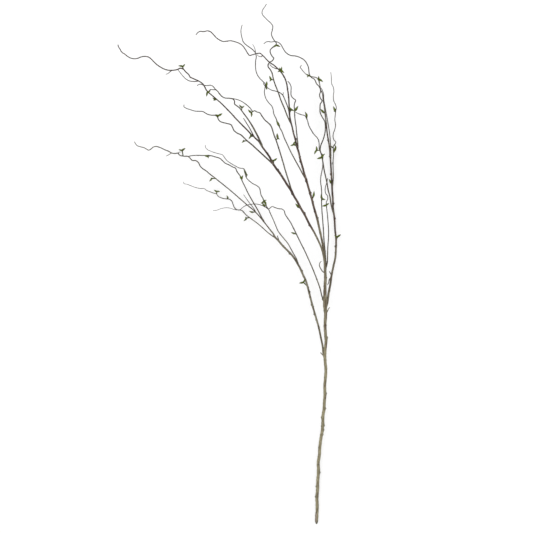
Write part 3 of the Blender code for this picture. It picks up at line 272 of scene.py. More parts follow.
        "widths": [(0, 0.0036), (0.3, 0.0031), (0.45, 0.0026), (0.7, 0.0024), (1, 0.0017)],
        "wave": 1.5,
        "bark": "plum",
    },
    "centre_limb": {
        "grows_from": ("main_stem", (325.2, 262)),
        "path": [
            (324.6, 256), (324, 252), (322.7, 245), (321.2, 237.1), (319.4, 229.1), (317.2, 219.2),
            (315.2, 212.1), (313.2, 205.1), (312, 200), (310.5, 195), (308.2, 187.1), (305.9, 179),
            (304, 173), (302.4, 166.9), (300.3, 159.9), (298.5, 152), (296.9, 147), (296, 143),
            (294.8, 138), (293.6, 134.1), (292, 127), (290.5, 121), (289.6, 116), (289.5, 112), (289, 105),
            (288.5, 97), (287.5, 90), (286.3, 83.1), (284.5, 78.2), (280.6, 72.3), (276.7, 68.3),
            (273.7, 65.7), (269.9, 63.2), (266.7, 60.3), (264.1, 57.4), (262, 55.5), (260.3, 54),
            (258.1, 54), (256.1, 54.4), (252.2, 55.5), (249.6, 56.1), (247.8, 53.9), (245.2, 49.7),
            (242.8, 46.5), (238.7, 43.7), (234.8, 42.3), (230, 41.4), (227.1, 41.8), (223.4, 42.1),
            (219.9, 40.7), (215.8, 37.7), (213, 34.5), (210.4, 32.2), (208.3, 31.5), (204, 32.2),
            (199.8, 32.1), (197.6, 33.6), (196.1, 35.5),
        ],
        "heights": [(0.03, 48.5), (0.2, 62), (0.4, 80), (0.6, 98), (0.72, 104), (0.85, 98), (1, 84)],
        "widths": [(0, 0.0046), (0.1, LIMB_DIAMETER), (0.2, LIMB_DIAMETER), (0.4, 0.0044), (0.45, 0.0036),
                   (0.62, 0.0032), (0.74, 0.0025), (0.82, 0.0022), (0.95, 0.0024), (1, 0.0020)],
        "wave": 1.8,
        "bark": "plum",
        "spurs": [
            [(278, 68.9), (276, 69.3), (274.3, 68.6), (271.8, 67.3), (269.5, 64.8)],
            [(263, 55.6), (261.6, 57.2), (259, 57), (257, 55.2)],
        ],
        "scars": [(318.8, 217), (311.9, 192), (304.8, 181), (299, 162), (296.6, 139)],
    },
    "centre_tall_twig": {
        "grows_from": ("centre_limb", (291.2, 124)),
        "path": [
            (288, 118), (284, 108), (280.8, 100.6), (278.9, 95), (277.1, 90.1), (274.7, 84.1),
            (273.2, 79.1), (272.1, 74.1), (270.3, 70.4), (268.1, 67.4), (268.3, 65), (270, 63),
            (272.6, 61.2), (273.7, 59), (272.3, 57.3), (270.5, 54.2), (270.2, 51), (271.2, 49.6),
            (273.8, 47.3), (276.4, 44.5), (274.7, 42), (272.6, 38.7), (271.4, 35), (272.3, 31), (272.7, 27),
            (271.4, 24.8), (268.5, 22), (265, 18.5), (262.4, 15.3), (262.2, 12.1), (263.2, 9.9), (265, 7.4),
            (266.6, 4.9),
        ],
        "heights": [(0.06, 90), (0.25, 112), (0.5, 126), (0.75, 122), (1, 108)],
        "widths": [(0, 0.0031), (0.4, 0.0028), (0.6, 0.0024), (0.75, 0.0021), (1, TIP_DIAMETER)],
        "wave": 1.8,
        "bark": "brown",
    },
    "centre_left_twig": {
        "grows_from": ("centre_limb", (306, 179)),
        "path": [
            (303, 174.6), (299.8, 168.7), (296, 161.8), (291, 152.5), (287, 144), (284, 137.5), (282, 132),
            (278.8, 126.1), (276.2, 119.1), (273.8, 114.1), (273, 109.5), (271.5, 106), (268.8, 103.1),
            (266, 99), (264.7, 95), (264.4, 92), (265, 88), (264.9, 84), (262.3, 81.2), (259.3, 78.1),
            (256.9, 74.1), (255.8, 70), (255.5, 66), (255.7, 61), (256.3, 57), (255.2, 53), (252.8, 50.2),
            (249.8, 47.8), (245.8, 44.9), (243.3, 42.1), (242.3, 39), (241.3, 35), (241, 31), (241.5, 28),
            (242.3, 25),
        ],
        "heights": [(0.05, 63), (0.3, 66), (0.55, 74), (0.75, 74), (1, 60)],
        "widths": [(0, 0.0031), (0.15, 0.0026), (0.35, 0.0023), (0.55, 0.0019), (0.75, 0.0021),
                   (0.85, 0.0022), (1, TIP_DIAMETER)],
        "wave": 1.7,
        "bark": "plum",
        "spurs": [
            [(255.6, 54.2), (255.3, 50.6), (254, 47), (252.5, 44.5)],
        ],
    },
    "centre_short_twig": {
        "grows_from": ("centre_limb", (289.9, 117)),
        "path": [
            (288.2, 109), (286.3, 103.6), (284.2, 98.6), (282.8, 95.6), (280, 93.2), (277, 91.9),
            (271.9, 90.6), (267.4, 88.1), (265, 86.3), (263.7, 84.5), (263.5, 83),
        ],
        "heights": [(0.16, 84), (0.5, 86), (0.8, 84), (1, 82)],
        "widths": [(0, 0.0028), (0.4, 0.0024), (1, TIP_DIAMETER)],
        "wave": 0.8,
        "bark": "brown",
        "spurs": [
            [(283, 95.5), (283.1, 94.2), (283.4, 92.6)],
        ],
    },
    "centre_right_twig": {
        "grows_from": ("centre_limb", (297.6, 150)),
        "path": [
            (297.7, 143), (297.1, 138), (296.5, 133), (296, 127), (295, 120), (294.5, 113), (294.5, 110),
            (294.1, 106), (294.8, 102.9), (295.5, 100.5), (293.2, 98.6), (291.2, 96), (290.9, 92),
            (291, 87), (289.5, 83.5), (287.6, 81.2),
        ],
        "heights": [(0.1, 74), (0.4, 70), (0.7, 66), (1, 62)],
        "widths": [(0, 0.0027), (0.5, 0.0024), (1, 0.0020)],
        "wave": 1.2,
        "bark": "brown",
    },
    "inner_left_twig": {
        "grows_from": ("main_stem", (325.2, 274)),
        "path": [
            (325.6, 266), (325.5, 257), (324.6, 247), (323.9, 240), (323.3, 230), (322.6, 220),
            (321.8, 210), (321.4, 200), (321.5, 194), (321.3, 188), (320.5, 182), (320.8, 176), (322, 170),
            (322.7, 166), (322.5, 161), (322.5, 155), (320.5, 152.5), (319.2, 149), (319, 144),
            (318.4, 140.1), (316.8, 137.6), (313.7, 134.2), (310.6, 129.3), (308.7, 125.6), (307.5, 121),
            (306.2, 118.2), (304.8, 115.8), (301.9, 115), (298.9, 114), (295.3, 112.2),
        ],
        "heights": [(0.046, 38.4), (0.098, 38.5), (0.2, 42), (0.35, 47), (0.6, 54), (0.8, 60), (1, 56)],
        "widths": [(0, TWIG_DIAMETER), (0.4, 0.0024), (0.6, 0.0021), (0.85, 0.0022), (1, 0.0018)],
        "wave": 1.2,
        "bark": "plum",
    },
    "inner_long_twig": {
        "grows_from": ("right_limb", (334, 214)),
        "path": [
            (331.2, 205), (329.8, 196), (328.2, 190.1), (327, 183), (325.7, 177), (324.3, 171),
            (323.5, 166), (322.7, 161), (321.6, 155), (320.1, 150), (320.7, 145.5), (323.2, 139.2),
            (325, 132), (325.3, 127), (324.5, 121), (322.1, 116.9), (320.2, 112.9), (319.9, 108),
            (320.4, 103.6), (322, 101), (320.2, 98), (319.5, 95), (320.5, 91), (319, 86.5), (316.3, 83.6),
            (315.3, 81), (314, 79), (312, 78), (309.5, 75), (308.8, 71), (308.3, 67.5), (306.7, 63.7),
            (304.2, 60.3), (300.9, 58.2), (297.9, 56.9), (295, 56.2), (291, 55.8), (288, 54.5),
            (285.5, 52.5), (283.1, 48.9), (280.5, 44.5), (277.9, 42.6), (275, 41.9), (271, 42.4),
            (268, 41.9), (265.3, 42.9), (263.8, 44.3),
        ],
        "heights": [(0.05, 8), (0.2, 18), (0.45, 30), (0.65, 42), (0.85, 60), (1, 74)],
        "widths": [(0, 0.0031), (0.3, 0.0028), (0.6, 0.0024), (0.85, 0.0023), (1, 0.0017)],
        "wave": 1.6,
        "bark": "plum",
    },
    "inner_short_twig": {
        "grows_from": ("main_stem", (325.2, 270)),
        "path": [
            (327.2, 262), (327.4, 257), (327.5, 252), (327.8, 245), (328.3, 238), (328.4, 230),
            (327.9, 222), (327.3, 215), (326.6, 209), (326.3, 205.5), (326.2, 201.9), (327.5, 199),
            (327.4, 196), (325.7, 193.6), (324.9, 190), (325.5, 186), (326.8, 182), (327.5, 178),
        ],
        "heights": [(0.08, 46.5), (0.3, 58), (0.7, 66), (1, 74)],
        "widths": [(0, TWIG_DIAMETER), (0.4, 0.0024), (1, TIP_DIAMETER)],
        "wave": 1.0,
        "bark": "plum",
    },
    "right_limb": {
        "grows_from": ("main_stem", (325.2, 309)),
        "path": [
            (327.6, 299), (328.9, 290.9), (330.3, 284), (331.2, 277), (332.3, 271.1), (333.8, 264),
            (335, 259), (335.7, 252), (336, 245), (336, 238), (335.3, 232), (334.8, 224), (334.2, 216),
            (333.1, 208), (332.9, 200), (332.2, 190), (331.7, 180), (331.1, 170), (330.5, 160),
            (329.7, 150), (328.7, 142), (327.2, 133), (326.1, 122), (325, 113), (324.2, 106), (323, 99),
            (322.5, 94), (320.8, 90), (320, 86), (318.8, 81.1), (317, 78), (314, 77), (311, 76.5),
            (307, 75), (304.1, 72.4), (301.7, 69.4), (300.2, 67), (301.7, 65.1),
        ],
        "heights": [(0.05, 31), (0.15, 21), (0.3, 7.5), (0.4, 1.9), (0.5, 3.4), (0.7, 13), (0.85, 24),
                    (1, 34)],
        "widths": [(0, 0.0056), (0.08, 0.0051), (0.15, 0.0047), (0.35, 0.0042), (0.5, 0.0042),
                   (0.65, 0.0034), (0.75, 0.0032), (0.85, 0.0024), (1, TIP_DIAMETER)],
        "wave": 0.0,
        "bark": "plum",
        "spurs": [
            [(331.2, 275), (330.2, 272.8), (329.3, 270.9)],
            [(330.8, 276.5), (329.2, 279.3), (328.6, 282.4), (327.4, 284.8)],
        ],
        "scars": [(334.6, 246), (335.6, 218), (334, 203), (330.9, 174), (329.4, 156), (327, 140)],
    },
    "right_limb_strand": {
        "grows_from": ("right_limb", (330.6, 161)),
        "path": [
            (330.8, 151), (330.3, 142), (329.6, 134), (328.1, 124), (326.7, 116), (324.9, 106), (323.7, 99),
            (323.5, 94), (322.3, 90.5), (321.2, 88),
        ],
        "heights": [(0.12, 13), (0.22, 18), (0.55, 27), (1, 40)],
        "widths": [(0, 0.0025), (0.5, 0.0021), (1, TIP_DIAMETER)],
        "wave": 0.6,
        "bark": "brown",
    },
    "right_outer_twig": {
        "grows_from": ("right_limb", (332, 188)),
        "path": [
            (333.3, 178), (333.1, 168), (333.1, 160), (333.5, 155), (333.3, 148), (333.6, 145.4),
            (335.3, 143.4), (335.8, 142), (334, 140), (333, 136), (333.4, 133), (334.8, 129), (335.5, 125),
            (334.8, 120), (335.2, 115), (335.8, 110), (336.3, 108), (335.5, 104.6), (333.8, 101.1),
            (333.3, 96), (333.8, 91), (333.2, 87.1), (331.7, 84.1), (331.3, 78), (330.7, 72),
        ],
        "heights": [(0.09, 7), (0.3, 11), (0.6, 20), (1, 34)],
        "widths": [(0, 0.0026), (0.3, 0.0020), (0.6, 0.0019), (0.8, 0.0017), (1, 0.0013)],
        "wave": 1.2,
        "bark": "brown",
        "scars": [(332.4, 163)],
    },
}
print("stems:", len(STEMS))

# %% [markdown]
# ## The sprouts
# An opening bud is a short stalk with a swollen end, and one to three young leaves that part from it. They
# sit where the buds were, so scattering them at random would look wrong. Each one is listed: where
# its stalk leaves the stem, where its leaves part, and where each leaf's tip is.

# %% Sprouts
# Each sprout: where its stalk leaves the stem, where its leaves part, and the leaves' tips
SPROUTS = {
    "left_limb": [
        ((183.2, 155.8), (182.1, 150.2), [(178.5, 149.2), (185.6, 147.8)]),
        ((215.3, 178.6), (211.6, 178.3), [(209.2, 181.4)]),
        ((255.4, 211.6), (252.6, 212), [(249, 210.9)]),
        ((306.7, 286.3), (303.3, 282), [(298.8, 282.9), (304.8, 278.4)]),
    ],
    "left_low_twig": [
        ((216.5, 193.5), (217, 191.3), [(213.8, 189.5), (220.3, 191.3)]),
        ((228.3, 199.1), (227.8, 197.8), [(226.6, 195)]),
        ((249.6, 217.5), (246.4, 217.8), [(243.5, 221), (245.2, 216.6)]),
    ],
    "left_middle_twig": [
        ((210.4, 155.6), (207.9, 156.2), [(203.8, 155.2), (208.6, 158.4)]),
        ((241.7, 180.4), (241.8, 178.9), [(243.2, 174.9), (240, 174.6)]),
    ],
    "left_inner_twig": [
        ((246.3, 177), (246.9, 174.8), [(243.9, 168)]),
        ((262.8, 198.5), (264, 201), [(260.6, 203.5), (266.9, 199.9), (266.6, 206.1)]),
        ((266.2, 205.4), (264.6, 206.1), [(262, 202.4)]),
    ],
    "left_arching_twig": [
        ((296.5, 234), (294.3, 233.4), [(290.8, 232.2)]),
    ],
    "long_limb": [
        ((184.2, 69.8), (182.7, 66.9), [(178.3, 66.2), (185.4, 64.1)]),
        ((207.6, 91.9), (207.3, 93), [(206.5, 97), (211, 90.6)]),
        ((217, 99.9), (215.6, 99.9), [(212.6, 98), (213.4, 100.9)]),
        ((253.4, 136.8), (250.7, 136.7), [(250.9, 133.6), (248.7, 139.5)]),
        ((301, 209), (298, 207), [(295, 203.4)]),
        ((273.3, 164), (273.9, 160.6), [(277.3, 158.2), (271.8, 159.9)]),
    ],
    "long_limb_upper_twig": [
        ((241.4, 110.9), (242.2, 107.8), [(239.1, 105.1), (244.6, 106.2)]),
    ],
    "long_limb_inner_twig": [
        ((253.6, 111.2), (251.2, 113), [(248, 109.8), (251.5, 117.6)]),
        ((276.2, 140.2), (277.9, 138.4), [(277, 133.2), (279.8, 139.5)]),
    ],
    "long_limb_lower_twig": [
        ((217.9, 118), (218.4, 115.7), [(215.3, 114.4), (222.6, 113.3)]),
        ((247.2, 141), (244, 141.2), [(241.7, 142.8), (243.3, 139.8)]),
    ],
    "centre_limb": [
        ((282.2, 73.6), (280.8, 70.8), [(279.1, 68), (284.3, 73.5), (281.7, 67.1), (277.5, 72.8)]),
        ((289.9, 112.8), (291.3, 110.2), [(288.8, 107.3), (294.4, 111.5)]),
        ((312, 200), (312.8, 197), [(314, 190.7)]),
        ((296.4, 145), (293.6, 144.4), [(290, 146.1), (295.3, 141.2), (295.8, 146.5)]),
    ],
    "centre_tall_twig": [
        ((275, 45.5), (276.7, 46.2), [(273.2, 48.6), (280.4, 47.8)]),
        ((273.9, 80.6), (271, 80.2), [(269.2, 76.4), (269.5, 82.3)]),
    ],
    "centre_left_twig": [
        ((265, 87.2), (266.5, 86), [(266.9, 81.3), (267, 90.4)]),
        ((279.8, 127.6), (279.1, 126), [(276.1, 119.9)]),
    ],
    "centre_right_twig": [
        ((294.4, 112), (295, 110.9), [(298.2, 105.9)]),
    ],
    "inner_left_twig": [
        ((307, 119.5), (306.6, 116.9), [(304.9, 111.7)]),
        ((319.6, 150.4), (316.6, 150.4), [(316.1, 146), (314.1, 154.5)]),
        ((322.3, 159.5), (321.1, 157.5), [(316.6, 158.8), (324.9, 153.7)]),
        ((321.6, 201), (322, 198.7), [(320.9, 194), (325.5, 199.7)]),
    ],
    "inner_long_twig": [
        ((311, 76.6), (308.4, 75.8), [(306.5, 73.8), (306.9, 77.7)]),
    ],
    "inner_short_twig": [
        ((326.5, 207), (326, 204.9), [(321.6, 206.1), (329.1, 203)]),
    ],
    "right_limb": [
        ((319.4, 83), (319, 79.3), [(318.6, 75.8), (323, 82), (316.8, 79.2)]),
        ((324.9, 113), (323.6, 112.4), [(320.3, 108.7)]),
        ((331.6, 184), (330.6, 182.4), [(328.8, 178.7)]),
        ((336, 240), (337.5, 236.6), [(341, 234), (334.2, 235)]),
    ],
    "right_outer_twig": [
        ((335.9, 112.2), (334.6, 111), [(333, 106)]),
        ((334.6, 144.4), (335.7, 147), [(333.1, 153.6)]),
        ((333.5, 147.2), (332.2, 147.1), [(330.7, 145.9)]),
    ],
}
print("sprouts:", sum(len(sprouts) for sprouts in SPROUTS.values()))

# %% [markdown]
# ## From picture points to lines in space
# A picture has no depth, so a stem's height above the surface comes from a few (share, height) pairs. A
# straight line between them would show as a fold. A curve that passes through each value, with a slope that
# follows its neighbours, has no folds and does not stray far. Thin twigs also wave up and down as they do
# from side to side.

# %% Lines in space


def placed(point):
    """A picture point as x and y in metres."""
    return np.array((point[0] - PICTURE_CENTRE[0], PICTURE_CENTRE[1] - point[1])) * PIXEL


def flowing(share, value, at):
    """The smooth curve through the values at these shares. Between two of them runs the cubic whose slope
    at each end is the slope between the neighbours: start value x (1+2t)(1-t)^2 + end value x (3-2t)t^2 +
    slope terms."""
    slope = np.gradient(value, share, axis=0)
    i = np.clip(np.searchsorted(share, at) - 1, 0, len(share) - 2)
    span = share[i + 1] - share[i]
    t = (at - share[i]) / span
    if value.ndim == 2:
        t, span = t[:, None], span[:, None]
    start = (1 + 2 * t) * value[i] + t * span * slope[i]
    end = (3 - 2 * t) * value[i + 1] - (1 - t) * span * slope[i + 1]
    return (1 - t) ** 2 * start + t**2 * end


def shares_along(points):
    """How far along a line each of its points lies, from 0 to 1, and the line's length."""
    steps = np.linalg.norm(np.diff(points, axis=0), axis=1)
    run = np.concatenate([[0.0], np.cumsum(steps)])
    return run / run[-1], run[-1]


def nearest_on(route, flat_point):
    """The point of a stem's axis that lies under or over a flat point."""
    starts, legs = route[:-1], np.diff(route, axis=0)
    across = ((flat_point - starts[:, :2]) * legs[:, :2]).sum(1) / (legs[:, :2] ** 2).sum(1)
    feet = starts + np.clip(across, 0, 1)[:, None] * legs
    return feet[np.linalg.norm(feet[:, :2] - flat_point, axis=1).argmin()]


def stem_route(stem, routes):
    """The stem's axis points and its radius at each. It starts on the axis of the stem it grows from."""
    flat = [placed(point) for point in stem["path"]]
    heights = list(stem["heights"])
    if "grows_from" in stem:
        parent, place = stem["grows_from"]
        root = nearest_on(routes[parent][0], placed(place))
        flat.insert(0, root[:2])
        heights.insert(0, (0, root[2] / MM))
    flat = np.array(flat)
    share, length = shares_along(flat)
    strength = np.clip((share - WAVES_FROM) / (WAVES_FULL - WAVES_FROM), 0, 1)
    waving = stem.get("wave", 0.0) * np.sin(2 * math.pi * share * length / WAVE_LENGTH) * strength
    height = (flowing(*np.array(heights, float).T, share) + waving) * MM
    radius = np.interp(share, *np.array(stem["widths"], float).T) / 2
    return np.column_stack([flat, height]), radius


def stems_in_order():
    """The stems' names, each after the one it grows from."""
    waiting, ready = dict(STEMS), []
    while waiting:
        for name in list(waiting):
            if waiting[name].get("grows_from", ("",))[0] not in waiting:
                ready.append(name)
                waiting.pop(name)
    return ready


routes = {}
for name in stems_in_order():
    routes[name] = stem_route(STEMS[name], routes)
print("length of all stems in m:", round(sum(shares_along(route)[1] for route, _ in routes.values()), 2))

# %% [markdown]
# ## Rings of points along a line
# A stem could be a curve with a bevel, but then its skin is out of reach: every ring is the same round one.
# Here a ring of points is put at each station along the smooth line, and bark, buds and swellings move
# those points in and out. The ring stands square to the line, with its first direction level and its second
# one upwards, so it never twists on a branch that lies down. Stations come closer together over a rounded
# tip.

# %% Lines, stations and ring directions


def fine_line(route, run):
    """The smooth line through the route's points, at these distances along it."""
    share, length = shares_along(route)
    return flowing(share, route, run / length)


def stations(length, step, tip):
    """Distances along a stem: one each step, then six over the tip, by the quarter circle's sine."""
    body = np.linspace(0, length - tip, max(int((length - tip) / step), 3))
    cap = length - tip + tip * np.sin(np.linspace(0, math.pi / 2, 8)[1:-1])
    return np.concatenate([body, cap])


def rounding(run, length, tip):
    """The share of its radius that a stem keeps: 1 up to the tip, then the circle's root of 1 - d^2."""
    beyond = np.clip((run - (length - tip)) / tip, 0, 1)
    return np.sqrt(1 - beyond**2)


def ring_directions(line):
    """Ahead, across and above at each point of a line: across is level and square to the way ahead."""
    ahead = np.gradient(line, axis=0)
    ahead /= np.linalg.norm(ahead, axis=1)[:, None]
    across = np.cross(ahead, UP)
    across /= np.linalg.norm(across, axis=1)[:, None]
    return ahead, across, np.cross(across, ahead)


def rings_round(line, reach, turn):
    """A ring round each point of the line: point + reach x (across x cosine + above x sine of the turn)."""
    _, across, above = ring_directions(line)
    spoke = across[:, None] * np.cos(turn)[None, :, None] + above[:, None] * np.sin(turn)[None, :, None]
    return line[:, None] + spoke * reach[..., None]


def turns(count):
    """The angles of a ring's points, from straight down round through level and up."""
    return 2 * math.pi * np.arange(count) / count - math.pi / 2


print("ring of 8 starts at", round(math.degrees(turns(8)[0])), "degrees")

# %% [markdown]
# ## Closing the skin
# Rings become a surface when each is joined to the next by four-sided faces, and the ends are closed by a
# fan of triangles to a middle point. An open tube would look the same from outside, but a closed one can be
# printed, weighed and cut. The corner order of each face makes it point outwards. A piece is a list of such
# skins, each with its own values per point, put into one mesh as whole arrays.

# %% Skins and meshes
STORED = {"straightened": 3, "along": 1, "bump": 1, "bared": 1, "stain": 1, "blade": 3, "under": 1}


def closed_skin(rings, **values):
    """One closed skin: its points, its four-sided and three-sided faces, and its values at each point."""
    count, size = rings.shape[:2]
    points = np.concatenate([rings.reshape(-1, 3), rings[[0, -1]].mean(axis=1)])
    row, k = np.meshgrid(np.arange(count - 1), np.arange(size), indexing="ij")
    here, beside = row * size + k, row * size + (k + 1) % size
    quads = np.stack([here, here + size, beside + size, beside], axis=-1).reshape(-1, 4)
    edge, last = np.arange(size), (count - 1) * size
    beside = (edge + 1) % size
    start = np.stack([np.full(size, count * size), edge, beside], axis=-1)
    end = np.stack([np.full(size, count * size + 1), last + beside, last + edge], axis=-1)
    at_points = {}
    for key, value in values.items():
        flat = value.reshape(count * size, -1)
        ends = value.reshape(count, size, -1)[[0, -1]].mean(axis=1)
        at_points[key] = np.concatenate([flat, ends])
    return {"points": points, "quads": quads, "fans": np.concatenate([start, end]), "values": at_points}


def volume_inside(skin):
    """The volume that a skin encloses, by the sum of its corner tetrahedra. It is positive if faces point
    out."""
    quads, points = skin["quads"], skin["points"]
    corners = np.concatenate([quads[:, [0, 1, 2]], quads[:, [0, 2, 3]], skin["fans"]])
    a, b, c = points[corners].transpose(1, 0, 2)
    return (np.cross(a, b) * c).sum() / 6


def mesh_piece(name, skins, materials):
    """One object from several skins. A skin's finish is the place of its material in the list."""
    points, faces, finishes, values, first = [], [], [], {}, 0
    for skin in skins:
        points.append(skin["points"])
        faces += (skin["quads"] + first).tolist() + (skin["fans"] + first).tolist()
        finishes.append(skin.get("finish", np.zeros(len(skin["quads"]) + len(skin["fans"]), int)))
        for key, size in STORED.items():
            values.setdefault(key, []).append(skin["values"].get(key, np.zeros((len(skin["points"]), size))))
        first += len(skin["points"])
    mesh = bpy.data.meshes.new(name)
    mesh.from_pydata(np.concatenate(points).tolist(), [], faces)
    for key, parts in values.items():
        value = np.concatenate(parts).astype(np.float32)
        kind, field = ("FLOAT", "value") if value.shape[1] == 1 else ("FLOAT_VECTOR", "vector")
        mesh.attributes.new(key, kind, "POINT").data.foreach_set(field, value.ravel())
    for material in materials:
        mesh.materials.append(material)
    mesh.polygons.foreach_set("material_index", np.concatenate(finishes).astype(np.int32))
    mesh.shade_smooth()
    mesh.update()
    obj = bpy.data.objects.new(name, mesh)
    bpy.context.scene.collection.objects.link(obj)
    return obj


tester = rings_round(np.linspace((0, 0, 0), (0.01, 0.0, 0.0), 9), np.full((9, 24), 0.001), turns(24))
print("a 10 mm long, 2 mm thick rod holds", round(volume_inside(closed_skin(tester)) * 1e9, 1), "mm3")

# %% [markdown]
# ## The form of the bark
# Bark is not a smooth pipe. It swells and thins in slow waves, it stands out in a low ridge where a leaf
# once grew, and each such place carries a bud. Displacement in the material could fake this, but a bud
# shows in the outline, so it is built. A wave that goes a whole number of times round the stem leaves no
# seam, and a bud is a rounded bump that falls off along and round the stem, longer below its top than above
# it. The same bumps, long and soft, say where the upper main stem is stained dark; those stay flat and are
# only stored for the material.

# %% Waves, buds and scars
RELIEF_WAVES = 8
RELIEF_LENGTHS = (0.005, 0.030)
SCAR_LEAN = 0.35
SCAR_HEIGHT = 0.0014
SCAR_WIDTH = 0.0013
SCAR_BELOW = 0.0024
SCAR_ABOVE = 0.0014
KNOT = 0.10
KNOT_LENGTH = 0.0040
ALL_ROUND = 4
BUD_SPACING = 0.026
BUD_FIRST = (0.4, 1.0)
BUD_STRIDE = (0.7, 1.3)
BUD_SWERVE = 0.5
BUDLESS_TIP = 0.01
BUD_SHARE = 0.30
BUD_LEAST = 0.00012
BUD_BELOW = 0.0007
BUD_ABOVE = 0.0020
BUD_WIDTH = 0.55
BUD_RING = 0.08
BUD_RING_LENGTH = 0.0012
STAIN_ASIDE_MOST = 0.8


def bark_waves(run, turn, draw):
    """From -1 to 1 at each station and turn: the mean of sines along the stem and a whole number round."""
    total = np.zeros((len(run), len(turn)))
    for _ in range(RELIEF_WAVES):
        times_round = draw.integers(0, 4)
        wave = draw.uniform(*RELIEF_LENGTHS)
        phase = draw.uniform(0, 2 * math.pi)
        total += np.sin(2 * math.pi * run[:, None] / wave + times_round * turn[None, :] + phase)
    return total / RELIEF_WAVES


def bumps_on(run, turn, radius, bumps):
    """The height that the bumps add: each is height x exp(-(along/length)^2) x exp(-(round/width)^2). Each
    bump is a row of run, turn, height, length below its top, length above it, and width."""
    at, facing, height, below, above, width = np.array(bumps, float).T
    along = run[:, None] - at
    along = np.exp(-((along / np.where(along < 0, below, above)) ** 2))
    angle = (turn[:, None] - facing + math.pi) % (2 * math.pi) - math.pi
    around = np.exp(-((angle * np.interp(at, run, radius) / width) ** 2))
    return np.einsum("nb,mb,b->nm", along, around, height)


def facing_turn(line, index, direction):
    """The turn at which a direction points, seen along the line at one of its points."""
    _, across, above = ring_directions(line[index - 1:index + 2])
    return math.atan2(direction @ above[1], direction @ across[1])


def scar_bumps(stem, route, line, run, radius):
    """A bump for each listed bud scar, on the side of its picture point, and a low knot round it."""
    bumps = []
    for place in stem.get("scars", []):
        foot = nearest_on(route, placed(place))
        index = int(np.clip(np.linalg.norm(line - foot, axis=1).argmin(), 1, len(line) - 2))
        away = placed(place) - foot[:2]
        direction = np.append(away / np.linalg.norm(away), SCAR_LEAN)
        facing = facing_turn(line, index, direction)
        thick = np.interp(run[index], run, radius)
        bumps.append((run[index], facing, SCAR_HEIGHT, SCAR_BELOW, SCAR_ABOVE, SCAR_WIDTH))
        bumps.append((run[index], facing, KNOT * thick, KNOT_LENGTH, KNOT_LENGTH, ALL_ROUND * thick))
    return bumps


def bud_bumps(run, radius, draw):
    """Small buds at about even distances, each on the other side from the last, and a low ring at each."""
    bumps, at, facing = [], draw.uniform(*BUD_FIRST) * BUD_SPACING, draw.uniform(0, 2 * math.pi)
    while at < run[-1] - BUDLESS_TIP:
        thick = np.interp(at, run, radius)
        bumps.append((at, facing, BUD_SHARE * thick + BUD_LEAST, BUD_BELOW, BUD_ABOVE, BUD_WIDTH * thick))
        bumps.append((at - BUD_RING_LENGTH / 2, facing + math.pi, BUD_RING * thick, BUD_RING_LENGTH,
                      BUD_RING_LENGTH, ALL_ROUND * thick))
        at += draw.uniform(*BUD_STRIDE) * BUD_SPACING
        facing += math.pi + draw.uniform(-BUD_SWERVE, BUD_SWERVE)
    return bumps


def stains_on(stem, route, line, run, turn, radius):
    """How dark the bark is stained at each station and turn: long soft spots, each on the side of the stem
    on which its picture point lies. A point at the edge faces sideways, a point on the axis faces up."""
    spots = []
    for place, length, width in stem.get("stains", []):
        foot = nearest_on(route, placed(place))
        index = int(np.clip(np.linalg.norm(line - foot, axis=1).argmin(), 1, len(line) - 2))
        across = ring_directions(line[index - 1:index + 2])[1][1]
        aside = np.append(placed(place) - foot[:2], 0.0) @ across / np.interp(run[index], run, radius)
        facing = math.acos(max(min(aside, STAIN_ASIDE_MOST), -STAIN_ASIDE_MOST))
        spots.append((run[index], facing, 1.0, length * MM, length * MM, width * MM))
    return bumps_on(run, turn, radius, spots) if spots else np.zeros((len(run), len(turn)))


print("bud spacing in mm:", BUD_SPACING / MM)

# %% [markdown]
# ## Where a stem leaves its parent
# A side stem does not stick to the bark like a nail. Its base widens and the parent swells on that side,
# into a collar. Joining the two meshes would cost a Boolean for each fork. Instead both skins are closed
# and run into each other: the side stem starts on the parent's axis, and the two widen towards each other
# where it comes out.

# %% Forks
FLARE = 0.30
FLARE_LENGTH = 3
COLLAR = 0.35
COLLAR_BELOW = 5
COLLAR_ABOVE = 3
COLLAR_WIDTH = 1.3
FORK_STATIONS = 80
STEP = {"main_stem": 0.0008}
TWIG_STEP = 0.0010
TIP_ROUNDING = 1.2


def where_out(line, parent_line, parent_radius):
    """The station at which a stem comes out of its parent's bark, and the parent's nearest station."""
    gaps = np.linalg.norm(line[:, None] - parent_line[None], axis=2)
    nearest = gaps.argmin(axis=1)
    outside = gaps.min(axis=1) > parent_radius[nearest]
    out = int(outside.argmax())
    return out, int(np.clip(nearest[out], 1, len(parent_line) - 2))


def flare(run, out_at, root_radius):
    """How much thicker a stem is near the place where it comes out: 1 + a bump 3 radii long."""
    return 1 + FLARE * np.exp(-(((run - out_at) / (FLARE_LENGTH * root_radius)) ** 2))


lines = {}
for name in stems_in_order():
    route, route_radius = routes[name]
    share, length = shares_along(route)
    run = stations(length, STEP.get(name, TWIG_STEP), route_radius[-1] * TIP_ROUNDING)
    lines[name] = {"run": run, "line": fine_line(route, run), "length": length, "collars": [],
                   "radius": np.interp(run / length, share, route_radius)}
for name, stem in STEMS.items():
    if "grows_from" in stem:
        mine, parent = lines[name], lines[stem["grows_from"][0]]
        out, beside = where_out(mine["line"][:FORK_STATIONS], parent["line"], parent["radius"])
        mine["out"] = mine["run"][out]
        towards = mine["line"][out] - parent["line"][beside]
        thick = mine["radius"][0]
        parent["collars"].append((parent["run"][beside], facing_turn(parent["line"], beside, towards),
                                  COLLAR * thick, COLLAR_BELOW * thick, COLLAR_ABOVE * thick,
                                  COLLAR_WIDTH * thick))
print("stems with a fork:", sum(1 for facts in lines.values() if facts["collars"]))
